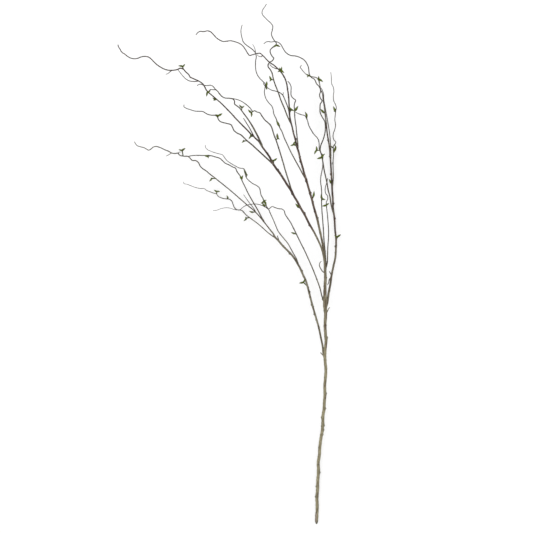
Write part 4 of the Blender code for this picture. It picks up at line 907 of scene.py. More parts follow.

# %% [markdown]
# ## The cut end
# The lower stem was cut to a blunt point, and beside the point a strip of bark is torn off: a long shallow
# dip of bare pinkish wood with a dark edge, partly the torn bark's own colour and partly painted shadow on
# the dip's wall, broader on its left side. A disc laid over the end would show its edge, and a strip laid
# on the bark would float. Instead the stem's own skin turns inwards at the end, in rings of points that
# shrink to the pith, and sinks a little where the bark is gone. A stored value marks that strip for the
# material.

# %% Cut end
CUT_SHARES = np.array((0.14, 0.30, 0.46, 0.62, 0.76, 0.88, 0.96))
BARED_FROM = 0.003
BARED_TO = 0.030
BARED_FADE_IN = 0.002
BARED_FADE_OUT = 0.012
BARED_TURN = math.radians(113)
BARED_WIDTH = 0.0011
BARED_DEPTH = 0.0004
DARK_FOOT = 0.0055


def bared_strip(run, turn, radius):
    """1 in the middle of the strip where the bark is torn off and 0 outside it: two soft steps along the
    stem x exp(-(distance round / width)^4), or ^2 towards the left, where the dark edge of torn bark and
    painted shadow is broader."""
    start = np.clip((run - BARED_FROM) / BARED_FADE_IN, 0, 1)
    end = np.clip((BARED_TO - run) / BARED_FADE_OUT, 0, 1)
    angle = (turn[None, :] - BARED_TURN + math.pi) % (2 * math.pi) - math.pi
    away = np.abs(angle) * radius[:, None] / BARED_WIDTH
    return (start * end)[:, None] * np.exp(-(away ** np.where(angle > 0, 2.0, 4.0)))


def with_cut_end(rings, values):
    """Rings that shrink to the middle of the first ring: middle + share x (ring point - middle)."""
    middle = rings[0].mean(axis=0)
    inner = middle + (rings[0] - middle) * CUT_SHARES[:, None, None]
    shrink = np.stack([CUT_SHARES, CUT_SHARES, np.ones(len(CUT_SHARES))], -1)
    place = values["straightened"][0] * shrink[:, None]
    flat = np.zeros((len(CUT_SHARES), rings.shape[1], 1))
    longer = {key: np.concatenate([flat, values[key]]) for key in ("along", "bump", "bared", "stain")}
    longer["straightened"] = np.concatenate([place, values["straightened"]])
    return np.concatenate([inner, rings]), longer


def cut_finish(skin, size):
    """1 for the faces of the cut and 0 for the bark: the first rows of quads and the first fan."""
    finish = np.zeros(len(skin["quads"]) + len(skin["fans"]), int)
    finish[:len(CUT_SHARES) * size] = 1
    finish[len(skin["quads"]):len(skin["quads"]) + size] = 1
    return finish


print("rings of points on the cut:", len(CUT_SHARES))

# %% [markdown]
# ## One stem's skin
# All of this meets in one function. It also stores what the material reads: where each point would be if
# the stem were pulled straight, so that streaks can run along the wood round every curl, without a seam;
# how far along the stem it is, since the foot is older; how much of a bump it is on, so that scars can be
# darker; and how much of the bared strip and of a stain it is on.

# %% Bark skins
RELIEF = {"main_stem": 0.11, "right_limb": 0.10, "long_limb": 0.09, "centre_limb": 0.09}
TWIG_RELIEF = 0.06
STEM_SIDES = {"main_stem": 28, "left_limb": 18, "long_limb": 18, "centre_limb": 18, "right_limb": 18}
TWIG_SIDES = 12
SPUR_RISE = 0.12
SPUR_OF_STEM = 0.8
SPUR_TAPER = 0.35
SPUR_DIAMETER = 0.0028
SPUR_AGE = 0.2
SPUR_STEP = 0.0006
SPUR_SIDES = 10
SPUR_RELIEF = 0.10


def straightened(run, turn, reach, offset):
    """Each point's place on the stem pulled straight: cosine and sine of its turn x reach, and its run."""
    return np.stack([np.cos(turn) * reach, np.sin(turn) * reach,
                     np.broadcast_to(run[:, None] + offset, reach.shape)], axis=-1)


def stem_skin(name, offset):
    """The closed skin of one stem, with its waves, buds, scars and collars."""
    stem, facts = STEMS[name], lines[name]
    run, line, turn = facts["run"], facts["line"], turns(STEM_SIDES.get(name, TWIG_SIDES))
    draw = np.random.default_rng(offset + 5)
    radius = facts["radius"] * rounding(run, facts["length"], facts["radius"][-1] * TIP_ROUNDING)
    if "out" in facts:
        radius = radius * flare(run, facts["out"], facts["radius"][0])
    bumps = scar_bumps(stem, routes[name][0], line, run, facts["radius"])
    bumps += bud_bumps(run, facts["radius"], draw) + facts["collars"]
    raised = bumps_on(run, turn, facts["radius"], bumps)
    raised *= (radius / facts["radius"])[:, None]
    reach = radius[:, None] * (1 + RELIEF.get(name, TWIG_RELIEF) * bark_waves(run, turn, draw)) + raised
    at_foot = "grows_from" not in stem
    bared = bared_strip(run, turn, radius) * at_foot
    darkened = np.clip(2 - run / DARK_FOOT, 0, 1)[:, None] * at_foot
    reach -= BARED_DEPTH * bared
    rings = rings_round(line, reach, turn)
    rings[..., 2] = np.maximum(rings[..., 2], 0.0)
    along = np.broadcast_to((run / run[-1])[:, None, None], (*reach.shape, 1))
    stain = stains_on(stem, routes[name][0], line, run, turn, facts["radius"])
    values = {"straightened": straightened(run, turn, reach, offset), "along": along,
              "bump": np.clip(raised / SCAR_HEIGHT + darkened, 0, 1)[..., None],
              "bared": bared[..., None], "stain": stain[..., None]}
    if not at_foot:
        return closed_skin(rings, **values)
    rings, values = with_cut_end(rings, values)
    skin = closed_skin(rings, **values)
    skin["finish"] = cut_finish(skin, len(turn))
    return skin


def spur_skin(spur, name, offset):
    """A short bare side shoot: it starts on the stem's axis, rises a little and tapers to a rounded end."""
    route, route_radius = routes[name]
    flat = np.array([placed(point) for point in spur])
    root = nearest_on(route, flat[0])
    share, length = shares_along(flat)
    points = np.column_stack([flat, root[2] + SPUR_RISE * length * share])
    points[0] = root
    ends = np.linalg.norm(route[:, :2] - flat[-1], axis=1)
    if ends.min() < PIXEL / 2:
        points[-1] = route[ends.argmin()]
    beside = np.linalg.norm(route - root, axis=1).argmin()
    thick = min(SPUR_OF_STEM * route_radius[beside], SPUR_DIAMETER / 2)
    share, length = shares_along(points)
    run, turn = stations(length, SPUR_STEP, thick / 2), turns(SPUR_SIDES)
    draw = np.random.default_rng(offset)
    radius = thick * (1 - SPUR_TAPER * run / length) * rounding(run, length, thick / 2)
    reach = radius[:, None] * (1 + SPUR_RELIEF * bark_waves(run, turn, draw))
    rings = rings_round(fine_line(points, run), reach, turn)
    rings[..., 2] = np.maximum(rings[..., 2], 0.0)
    root_share = shares_along(route)[0][beside]
    along = np.broadcast_to((root_share + SPUR_AGE * run / length)[:, None, None], (*reach.shape, 1))
    return closed_skin(rings, straightened=straightened(run, turn, reach, offset), along=along)


print("a main stem ring has", STEM_SIDES["main_stem"], "points, a twig's", TWIG_SIDES)

# %% [markdown]
# ## A young leaf
# A willow leaf that has just opened is long and pointed, widest below its middle, folded up along its rib,
# with fine teeth on its edge and veins that leave the rib at a slant. A flat card with a picture would be
# cheaper, but it has no thickness and no fold to catch the light. Here a leaf is one closed surface of two
# parameters: u runs from its stalk to its tip, and the turn goes over its upper face, round its edge and
# back under it.

# %% Leaf surface
LEAF_WIDTH_SHARE = 0.40
LEAF_WIDTH_EXTRA = 0.0004
LEAF_WIDTH_LEAST = 0.0035
LEAF_WIDTH_MOST = 0.0056
LEAF_OUTLINE = np.array(((0, 0.26), (0.1, 0.58), (0.3, 1.0), (0.65, 0.74), (0.88, 0.32), (1, 0.03)))
LEAF_ARCH = np.array(((0, 0), (0.3, 0.06), (0.65, 0.05), (1, 0)))
LEAF_FOLD = 0.42
BLADE_THICKNESS = 0.00055
RIB_DEPTH = 0.00022
RIB_WIDTH = 0.16
VEIN_HEIGHT = 0.00009
VEIN_SPACING = 0.0011
VEIN_SLANT = 0.55
TOOTH_SPACING = 0.0010
TOOTH_DEPTH = 0.10
LEAF_RINGS = 60
LEAF_SIDES = 20


def leaf_sides(along, roll):
    """The directions across a leaf and out of its upper face, rolled about its rib."""
    side = np.cross(along, UP)
    side /= np.linalg.norm(side)
    face = np.cross(side, along)
    return math.cos(roll) * side + math.sin(roll) * face, math.cos(roll) * face - math.sin(roll) * side


def leaf_half_width(length):
    """Half the width of a leaf of this length: a share of it and a little more, within limits."""
    wanted = LEAF_WIDTH_SHARE * length + LEAF_WIDTH_EXTRA
    return min(max(wanted, LEAF_WIDTH_LEAST), LEAF_WIDTH_MOST) / 2


def leaf_skin(base, tip, roll, tint, half=None, rings=LEAF_RINGS, sides=LEAF_SIDES):
    """One leaf: base + u x length along the rib + x x width across it + a rise out of its face. x is the
    cosine of the turn. The width is the outline less a tooth that grows and snaps back. The rise is the
    arch, the fold (width x |x|^1.3), the thickness x the sine of the turn, the sunken rib and the veins'
    slanted waves."""
    along = tip - base
    length = np.linalg.norm(along)
    along = along / length
    side, face = leaf_sides(along, roll)
    u = np.linspace(0, 1, rings)[:, None]
    turn = (2 * math.pi * np.arange(sides) / sides)[None, :]
    x, over = np.cos(turn), np.sin(turn)
    tooth = (u * length / TOOTH_SPACING) % 1.0 * np.clip(u / 0.2, 0, 1)
    width = (half or leaf_half_width(length)) * flowing(*LEAF_OUTLINE.T, u) * (1 - TOOTH_DEPTH * tooth)
    vein = np.sin(2 * math.pi * (u * length - VEIN_SLANT * np.abs(x) * width) / VEIN_SPACING)
    vein = VEIN_HEIGHT * vein * np.clip(4 * np.abs(x) * (1 - np.abs(x)), 0, 1) * np.clip(u / 0.1, 0, 1)
    rib = -RIB_DEPTH * np.exp(-((x / RIB_WIDTH) ** 2)) * (1 - 0.7 * u)
    thick = BLADE_THICKNESS * (1 - 0.5 * u)
    rise = length * flowing(*LEAF_ARCH.T, u) + LEAF_FOLD * width * np.abs(x) ** 1.3
    rise = rise + over * thick / 2 + rib + vein
    points = base + along * (length * u + 0 * x)[..., None]
    points = points + side * (x * width)[..., None] + face * rise[..., None]
    blade = np.stack(np.broadcast_arrays(u, x, tint), axis=-1)
    flat = np.stack([x * width, rise, length * u + 0 * x + tint], axis=-1)
    under = np.broadcast_to((1 - over) / 2, (rings, sides))[..., None]
    return closed_skin(points, blade=blade, straightened=flat, under=under)


trial = leaf_skin(np.zeros(3), np.array((0.012, 0.0, 0.001)), 0.0, 0.5)
print("a 12 mm leaf holds", round(volume_inside(trial) * 1e9, 1), "mm3; points:", len(trial["points"]))

# %% [markdown]
# ## A sprout
# At the foot of each bunch is a short green stalk that swells where the leaves part, with a pair of small
# brown scales that once closed the bud. The lift, the rise and the roll of each leaf are drawn from a
# random order that starts from the stem's name, the same order as in the CAD frame, so every fine leaf lies
# on its flat one.

# %% Sprouts and their parts
STALK_DIAMETER = 0.0023
STALK_SWELL = np.array((1.15, 1.0, 1.5, 1.1))
STALK_STEP = 0.0004
STALK_SIDES = 12
STALK_RELIEF = 0.08
HUB_DIAMETER = 0.0033
HUB_ROUNDING = HUB_DIAMETER * 0.3
SPROUT_LIFT = (0.0010, 0.0022)
LEAF_RISE = (0.0, 0.4)
LEAF_ROLL = 0.5
LEAF_SUNK = 0.3
SCALE_LENGTH = 0.0030
SCALE_WIDTH = 0.0016
SCALE_SIDES = 12
SCALE_HALF = 0.45
SCALE_FOOT_ASIDE = 0.3
SCALE_TIP_ASIDE = 0.75
SCALE_ROLL = 1.0
TINT_OF_SPROUT = 0.37
TINT_OF_LEAF = 0.29
TINT_OF_SCALES = 0.61


def stalk_skin(root, top, offset):
    """A stalk from the stem's axis to just past the place where the leaves part, swollen before its end."""
    ahead = (top - root) / np.linalg.norm(top - root)
    points = np.array([root, (root + top) / 2, top, top + ahead * HUB_DIAMETER / 2])
    share, length = shares_along(points)
    run, turn = stations(length, STALK_STEP, HUB_ROUNDING), turns(STALK_SIDES)
    thick = np.interp(run / length, share, STALK_SWELL * STALK_DIAMETER / 2)
    radius = thick * rounding(run, length, HUB_ROUNDING)
    reach = radius[:, None] * (1 + STALK_RELIEF * bark_waves(run, turn, np.random.default_rng(offset)))
    return closed_skin(rings_round(fine_line(points, run), reach, turn),
                       straightened=straightened(run, turn, reach, offset))


def scale_skins(root, top, tint):
    """The two bud scales: small pointed shells, one on each side of the swollen end."""
    ahead = (top - root) / np.linalg.norm(top - root)
    side = np.cross(ahead, UP)
    side /= np.linalg.norm(side)
    skins = []
    for way in (-1, 1):
        base = top - ahead * SCALE_LENGTH * SCALE_HALF + side * way * HUB_DIAMETER * SCALE_FOOT_ASIDE
        tip = top + ahead * SCALE_LENGTH * SCALE_HALF + side * way * HUB_DIAMETER * SCALE_TIP_ASIDE
        skins.append(leaf_skin(base, tip, way * SCALE_ROLL, tint, half=SCALE_WIDTH / 2, rings=SCALE_SIDES,
                               sides=SCALE_SIDES))
    return skins


def marked(skins, finish):
    """The skins with all their faces given one finish."""
    for skin in skins:
        skin["finish"] = np.full(len(skin["quads"]) + len(skin["fans"]), finish)
    return skins


def sprout_skins(sprout, route, draw, offset):
    """One sprout: its leaves, then its stalk, then its two scales."""
    base, hub, tips = sprout
    root = nearest_on(route, placed(base))
    top = np.append(placed(hub), root[2] + draw.uniform(*SPROUT_LIFT))
    leaves = []
    for i, tip in enumerate(tips):
        reach = np.linalg.norm(placed(tip) - top[:2])
        end = np.append(placed(tip), top[2] + reach * draw.uniform(*LEAF_RISE))
        start = top - (end - top) / np.linalg.norm(end - top) * LEAF_SUNK * HUB_DIAMETER
        tint = (offset * TINT_OF_SPROUT + i * TINT_OF_LEAF) % 1.0
        leaves.append(leaf_skin(start, end, draw.uniform(-LEAF_ROLL, LEAF_ROLL), tint))
    stalk = marked([stalk_skin(root, top, offset)], 1)
    return leaves + stalk + marked(scale_skins(root, top, (offset * TINT_OF_SCALES) % 1.0), 2)


print("leaves:", sum(len(tips) for sprouts in SPROUTS.values() for _, _, tips in sprouts))

# %% [markdown]
# ## Building materials out of nodes
# A material is a tree of nodes. Clicking it together is easy once and slow the tenth time, so a small
# helper adds one node, sets its fields and links or fills its inputs. What more than one finish needs is
# built once as a node group with named inputs, and each finish gives it its own colours and sizes.

# %% Node helpers


def fill(tree, node, values):
    """A node's inputs given their values. A socket is linked to its input, anything else is set on it."""
    for key, value in values.items():
        if isinstance(value, bpy.types.NodeSocket):
            tree.links.new(value, node.inputs[key])
        else:
            node.inputs[key].default_value = value


def add(tree, kind, values=None, **fields):
    """A node of this kind, with its fields set and its inputs filled."""
    node = tree.nodes.new(kind)
    for key, value in fields.items():
        setattr(node, key, value)
    fill(tree, node, values or {})
    return node


def colours_mixed(tree, share, first, second):
    """The first colour where the share is 0 and the second where it is 1."""
    return add(tree, "ShaderNodeMix", {0: share, 6: first, 7: second}, data_type="RGBA").outputs[2]


def ranged(tree, value, low, high, to_low=0.0, to_high=1.0):
    """The value stretched so that low and high become the new ends, and held there."""
    node = add(tree, "ShaderNodeMapRange", {0: value, 1: low, 2: high, 3: to_low, 4: to_high},
               interpolation_type="SMOOTHSTEP")
    return node.outputs[0]


def calculated(tree, how, first, second=0.0):
    """One sum on two numbers."""
    return add(tree, "ShaderNodeMath", {0: first, 1: second}, operation=how).outputs[0]


def stored(tree, name):
    """A value that the mesh holds at its points."""
    return add(tree, "ShaderNodeAttribute", attribute_name=name, attribute_type="GEOMETRY")


def new_group(name, inputs, outputs):
    """An empty node group with these named inputs and outputs, and its two end nodes."""
    tree = bpy.data.node_groups.new(name, "ShaderNodeTree")
    for label, (kind, value) in inputs.items():
        tree.interface.new_socket(label, in_out="INPUT", socket_type=kind).default_value = value
    for label, kind in outputs.items():
        tree.interface.new_socket(label, in_out="OUTPUT", socket_type=kind)
    return tree, tree.nodes.new("NodeGroupInput").outputs, tree.nodes.new("NodeGroupOutput").inputs


def use_group(tree, group, values):
    """The group placed in a material with its own values."""
    node = tree.nodes.new("ShaderNodeGroup")
    node.node_tree = group
    fill(tree, node, values)
    return node.outputs


COLOUR, NUMBER, VECTOR = "NodeSocketColor", "NodeSocketFloat", "NodeSocketVector"
print("node helpers are ready")

# %% [markdown]
# ## Soft patches
# Bark, leaf and cut wood are all uneven in soft patches. A noise texture does that, but its scale is a
# count per metre and its grey is nearly all in the middle. The group turns this round: it takes the size of
# a patch in metres and the greys to stretch apart, and puts out a mask from 0 to 1.

# %% The group of soft patches
patches, given, result = new_group(
    "soft patches",
    {"Place": (VECTOR, (0, 0, 0)), "Size": (NUMBER, 0.01), "From": (NUMBER, 0.4), "To": (NUMBER, 0.6)},
    {"Mask": NUMBER})
scale = calculated(patches, "DIVIDE", 1.0, given["Size"])
cloud = add(patches, "ShaderNodeTexNoise", {"Vector": given["Place"], "Scale": scale, "Detail": 4.0,
                                            "Roughness": 0.6})
mask = add(patches, "ShaderNodeMapRange", {0: cloud.outputs[0], 1: given["From"], 2: given["To"]})
patches.links.new(mask.outputs[0], result["Mask"])
print("group:", patches.name)

# %% [markdown]
# ## Bark
# Young willow bark is dull and slightly waxy: a ground colour with darker blotches, fine streaks along the
# wood, small pale pores, and dark scars under the buds. Object coordinates would cut across a bent stem as
# planks do. The stored straightened place bends with it, so streaks follow every curl. A stem is older at
# its foot, so its ground colour runs from old to young to tip. Rust-dark patches come from noise, and from
# the stored stains where they were traced. All barks share this group and bring their own colours: olive on
# the lower stem, khaki and then plum on the limbs, brown on thin twigs and green on the leaf stalks.

# %% The group of the bark skin
RUST_SIZE = 0.005
MOTTLE_SIZE = 0.0022
STREAK_SIZE = 0.0007
PORES_PER_METRE = 420.0
# The bared strip's dark edge: partly torn bark, partly painted shadow on the wall of the dip
BARED_EDGE_AND_SHADOW = (0.052, 0.038, 0.028, 1)
BARE_WOOD = (0.30, 0.24, 0.195, 1)
BARE_GRAIN = (0.17, 0.125, 0.092, 1)

bark_group, given, result = new_group(
    "bark skin",
    {"Old": (COLOUR, (0.2, 0.2, 0.1, 1)), "Young": (COLOUR, (0.1, 0.1, 0.05, 1)),
     "Tip": (COLOUR, (0.1, 0.1, 0.05, 1)), "Blotch": (COLOUR, (0.1, 0.1, 0.05, 1)),
     "Rust": (COLOUR, (0.1, 0.06, 0.04, 1)), "Streak": (COLOUR, (0.1, 0.1, 0.05, 1)),
     "Scar": (COLOUR, (0.08, 0.09, 0.05, 1)), "Pore": (COLOUR, (0.4, 0.4, 0.3, 1)),
     "Young From": (NUMBER, 0.1), "Young To": (NUMBER, 0.3),
     "Tip From": (NUMBER, 0.4), "Tip To": (NUMBER, 0.5),
     "Blotch Size": (NUMBER, 0.004), "Blotch From": (NUMBER, 0.5), "Blotch To": (NUMBER, 0.58),
     "Rust From": (NUMBER, 0.56), "Rust To": (NUMBER, 0.62), "Blotch Least": (NUMBER, 1.0)},
    {"Colour": COLOUR, "Roughness": NUMBER, "Normal": VECTOR})
tree = bark_group
place = stored(tree, "straightened").outputs["Vector"]


def stretched(along_wood):
    """The straightened place, squeezed along the wood so that what is drawn on it comes out longer."""
    return add(tree, "ShaderNodeVectorMath", {0: place, 1: (1, 1, along_wood)},
               operation="MULTIPLY").outputs[0]


blotch = use_group(tree, patches, {"Place": stretched(0.22), "Size": given["Blotch Size"],
                                   "From": given["Blotch From"], "To": given["Blotch To"]})["Mask"]
rust = use_group(tree, patches, {"Place": stretched(0.32), "Size": RUST_SIZE, "From": given["Rust From"],
                                 "To": given["Rust To"]})["Mask"]
mottle = use_group(tree, patches, {"Place": place, "Size": MOTTLE_SIZE, "From": 0.35, "To": 0.65})["Mask"]
streak = use_group(tree, patches, {"Place": stretched(0.09), "Size": STREAK_SIZE, "From": 0.45,
                                   "To": 0.7})["Mask"]
cells = add(tree, "ShaderNodeTexVoronoi", {"Vector": stretched(0.4), "Scale": PORES_PER_METRE})
by_cell = add(tree, "ShaderNodeSeparateColor", {0: cells.outputs["Color"]}).outputs[0]
chosen = ranged(tree, by_cell, 0.62, 0.66)
pore = calculated(tree, "MULTIPLY", ranged(tree, cells.outputs["Distance"], 0.30, 0.16), chosen)
scar = stored(tree, "bump").outputs["Fac"]
along = stored(tree, "along").outputs["Fac"]
aged = add(tree, "ShaderNodeMath", {0: mottle, 1: 0.04, 2: along}, operation="MULTIPLY_ADD").outputs[0]
young = ranged(tree, aged, given["Young From"], given["Young To"])
colour = colours_mixed(tree, young, given["Old"], given["Young"])
colour = colours_mixed(tree, ranged(tree, along, given["Tip From"], given["Tip To"]), colour, given["Tip"])
spotted = ranged(tree, young, 0.0, 1.0, given["Blotch Least"], 1.0)
ragged = ranged(tree, mottle, 0.0, 1.0, 0.6, 1.2)
stained = calculated(tree, "MULTIPLY", stored(tree, "stain").outputs["Fac"], ragged)
stained = ranged(tree, stained, 0.25, 0.60)
rusty = calculated(tree, "MAXIMUM", calculated(tree, "MULTIPLY", rust, spotted), stained)
colour = colours_mixed(tree, rusty, colour, given["Rust"])
colour = colours_mixed(tree, calculated(tree, "MULTIPLY", blotch, spotted), colour, given["Blotch"])
colour = colours_mixed(tree, calculated(tree, "MULTIPLY", streak, 0.55), colour, given["Streak"])
colour = colours_mixed(tree, calculated(tree, "MULTIPLY", mottle, 0.20), colour, given["Streak"])
colour = colours_mixed(tree, calculated(tree, "MULTIPLY", pore, 0.7), colour, given["Pore"])
colour = colours_mixed(tree, calculated(tree, "MULTIPLY", scar, 0.85), colour, given["Scar"])
bared = stored(tree, "bared").outputs["Fac"]
# The strip's dark edge: partly torn bark, partly painted shadow on the dip's wall, broader on the left
colour = colours_mixed(tree, ranged(tree, bared, 0.02, 0.25), colour, BARED_EDGE_AND_SHADOW)
bare_wood = colours_mixed(tree, calculated(tree, "MULTIPLY", streak, 0.5), BARE_WOOD, BARE_GRAIN)
colour = colours_mixed(tree, ranged(tree, bared, 0.30, 0.60), colour, bare_wood)
tree.links.new(colour, result["Colour"])
tree.links.new(ranged(tree, mottle, 0.0, 1.0, 0.66, 0.86), result["Roughness"])
height = calculated(tree, "MULTIPLY", streak, -0.6)
height = calculated(tree, "ADD", height, calculated(tree, "MULTIPLY", pore, 0.5))
height = calculated(tree, "ADD", height, calculated(tree, "MULTIPLY", mottle, 0.4))
bump = add(tree, "ShaderNodeBump", {"Height": height, "Strength": 0.6, "Distance": 0.0003})
tree.links.new(bump.outputs[0], result["Normal"])
print("group:", bark_group.name, "with", len(bark_group.nodes), "nodes")

# %% The barks and the stalk
DARK_BARK = {"Streak": (0.034, 0.024, 0.019, 1), "Scar": (0.040, 0.034, 0.026, 1),
             "Pore": (0.30, 0.26, 0.19, 1)}
PLUM_BARK = {**DARK_BARK, "Old": (0.200, 0.180, 0.115, 1), "Young": (0.130, 0.090, 0.064, 1),
             "Tip": (0.050, 0.042, 0.034, 1), "Blotch": (0.046, 0.028, 0.023, 1),
             "Rust": (0.062, 0.030, 0.021, 1), "Blotch Size": 0.004, "Blotch From": 0.46, "Blotch To": 0.56,
             "Rust From": 0.50, "Rust To": 0.58, "Blotch Least": 0.35}
TWIG_BARK = {**DARK_BARK, "Old": (0.115, 0.104, 0.070, 1), "Young": (0.058, 0.050, 0.038, 1),
             "Tip": (0.046, 0.041, 0.036, 1), "Blotch": (0.050, 0.040, 0.030, 1),
             "Rust": (0.052, 0.034, 0.026, 1), "Young From": 0.15, "Young To": 0.5, "Tip From": 0.6,
             "Tip To": 0.9, "Blotch Size": 0.003, "Blotch From": 0.50, "Blotch To": 0.60}
BARKS = {
    "main_stem": {"Old": (0.268, 0.243, 0.148, 1), "Young": (0.215, 0.190, 0.125, 1),
                  "Tip": (0.10, 0.085, 0.06, 1), "Blotch": (0.128, 0.112, 0.066, 1),
                  "Streak": (0.080, 0.064, 0.038, 1), "Rust": (0.072, 0.040, 0.031, 1),
                  "Scar": (0.070, 0.070, 0.042, 1), "Pore": (0.42, 0.39, 0.28, 1),
                  "Young From": 0.66, "Young To": 0.80, "Tip From": 0.90,
                  "Tip To": 1.0, "Blotch Size": 0.004, "Blotch From": 0.48, "Blotch To": 0.58,
                  "Rust From": 0.565, "Rust To": 0.62, "Blotch Least": 0.7},
    "left_limb": {"Old": (0.215, 0.200, 0.130, 1), "Young": (0.185, 0.168, 0.118, 1),
                  "Tip": (0.050, 0.047, 0.036, 1), "Blotch": (0.085, 0.070, 0.046, 1),
                  "Rust": (0.085, 0.055, 0.036, 1), "Scar": (0.050, 0.048, 0.034, 1),
                  "Streak": (0.060, 0.048, 0.034, 1), "Pore": (0.36, 0.34, 0.27, 1), "Young From": 0.08,
                  "Young To": 0.30, "Tip From": 0.40, "Tip To": 0.52, "Blotch Size": 0.004,
                  "Blotch From": 0.47, "Blotch To": 0.57, "Rust From": 0.58, "Rust To": 0.64},
    "long_limb": {**PLUM_BARK, "Young From": 0.145, "Young To": 0.185, "Tip From": 0.40, "Tip To": 0.50},
    "centre_limb": {**PLUM_BARK, "Young From": 0.12, "Young To": 0.22},
    "right_limb": {**PLUM_BARK, "Old": (0.185, 0.165, 0.110, 1), "Young": (0.175, 0.135, 0.100, 1),
                   "Tip": (0.160, 0.145, 0.112, 1), "Young From": 0.26, "Young To": 0.30, "Tip From": 0.62,
                   "Tip To": 0.72, "Blotch Least": 0.6},
    "twig": TWIG_BARK,
    "stalk": {**TWIG_BARK, "Old": (0.056, 0.072, 0.005, 1), "Young": (0.056, 0.072, 0.005, 1),
              "Blotch": (0.030, 0.036, 0.006, 1), "Rust": (0.044, 0.038, 0.008, 1),
              "Streak": (0.026, 0.028, 0.006, 1), "Pore": (0.15, 0.18, 0.04, 1)},
}


def new_material(name):
    """An empty finish with its shader."""
    material = bpy.data.materials.new(name)
    material.use_nodes = True
    return material, material.node_tree, material.node_tree.nodes["Principled BSDF"]


def bark_material(name, look):
    """A bark: the shared group with this bark's colours, feeding a dull shader."""
    material, tree, shader = new_material(name + " bark")
    skin = use_group(tree, bark_group, look)
    tree.links.new(skin["Colour"], shader.inputs["Base Color"])
    tree.links.new(skin["Roughness"], shader.inputs["Roughness"])
    tree.links.new(skin["Normal"], shader.inputs["Normal"])
    shader.inputs["Specular IOR Level"].default_value = 0.3
    return material


barks = {name: bark_material(name, look) for name, look in BARKS.items()}
print("barks:", ", ".join(barks))

# %% [markdown]
# ## Cut wood
# The end of the stem shows pale wood. Its rings are circles round the pith, and the distance from the
# stem's axis is already in the straightened place, so a wave over that distance draws them. Noise bends the
# circles slightly.

# %% The cut end's finish
RING_SPACING = 0.0007
RING_BEND = 0.0006
BEND_SIZE = 0.003
PALE_WOOD = (0.46, 0.36, 0.21, 1)
RING_WOOD = (0.27, 0.19, 0.10, 1)
PITH = (0.13, 0.09, 0.05, 1)
CUT_BARK = (0.16, 0.15, 0.07, 1)

wood, tree, shader = new_material("cut wood")
place = stored(tree, "straightened").outputs["Vector"]
level = add(tree, "ShaderNodeVectorMath", {0: place, 1: (1, 1, 0)}, operation="MULTIPLY").outputs[0]
reach = add(tree, "ShaderNodeVectorMath", {0: level}, operation="LENGTH").outputs["Value"]
bend = use_group(tree, patches, {"Place": place, "Size": BEND_SIZE, "From": 0.0, "To": 1.0})["Mask"]
bent = calculated(tree, "ADD", reach, calculated(tree, "MULTIPLY", bend, RING_BEND))
ring = calculated(tree, "SINE", calculated(tree, "MULTIPLY", bent, 2 * math.pi / RING_SPACING))
colour = colours_mixed(tree, ranged(tree, ring, 0.2, 1.0, 0.0, 0.5), PALE_WOOD, RING_WOOD)
colour = colours_mixed(tree, ranged(tree, reach, 0.0008, 0.0004), colour, PITH)
colour = colours_mixed(tree, ranged(tree, reach, 0.0033, 0.0037), colour, CUT_BARK)
tree.links.new(colour, shader.inputs["Base Color"])
shader.inputs["Roughness"].default_value = 0.85
print("finish:", wood.name)

# %% [markdown]
# ## Leaf
# A young leaf is coloured darker olive green towards its edge, yellow-green along its rib, paler underneath,
# and is a little waxy. It lets some light through, but true translucency is slow and is lost in an export,
# so the shader keeps a thin sheen-free gloss and the colours carry the rest: the yellow-green along the rib
# is partly the rib's own paler colour and partly a painted glow and highlight of light shining through the
# folded leaf. They read the leaf's own parameters, so veins meet the rib.

# %% The leaf's finish
LEAF_GREEN = (0.088, 0.130, 0.004, 1)
LEAF_EDGE = (0.018, 0.030, 0.002, 1)
LEAF_TIP = (0.028, 0.036, 0.005, 1)
LEAF_SHADE = (0.026, 0.038, 0.004, 1)
# Along the rib: partly the rib's own colour, partly painted glow and highlight of light through the leaf
LEAF_RIB_AND_GLOW = (0.190, 0.240, 0.008, 1)
LEAF_VEIN = (0.120, 0.160, 0.006, 1)
LEAF_UNDER = (0.09, 0.12, 0.012, 1)
LEAF_TINT = (0.060, 0.056, 0.010, 1)
VEINS_ON_LEAF = 11.0
SHADE_SIZE = 0.0016

leaf, tree, shader = new_material("leaf")
own = add(tree, "ShaderNodeSeparateXYZ", {0: stored(tree, "blade").outputs["Vector"]}).outputs
place = stored(tree, "straightened").outputs["Vector"]
across = calculated(tree, "ABSOLUTE", own[1])
edge = ranged(tree, across, 0.25, 0.95)
colour = colours_mixed(tree, edge, LEAF_GREEN, LEAF_EDGE)
colour = colours_mixed(tree, ranged(tree, own[0], 0.55, 1.0, 0.0, 0.8), colour, LEAF_TIP)
shade = use_group(tree, patches, {"Place": place, "Size": SHADE_SIZE, "From": 0.40, "To": 0.62})["Mask"]
colour = colours_mixed(tree, calculated(tree, "MULTIPLY", shade, 0.45), colour, LEAF_SHADE)
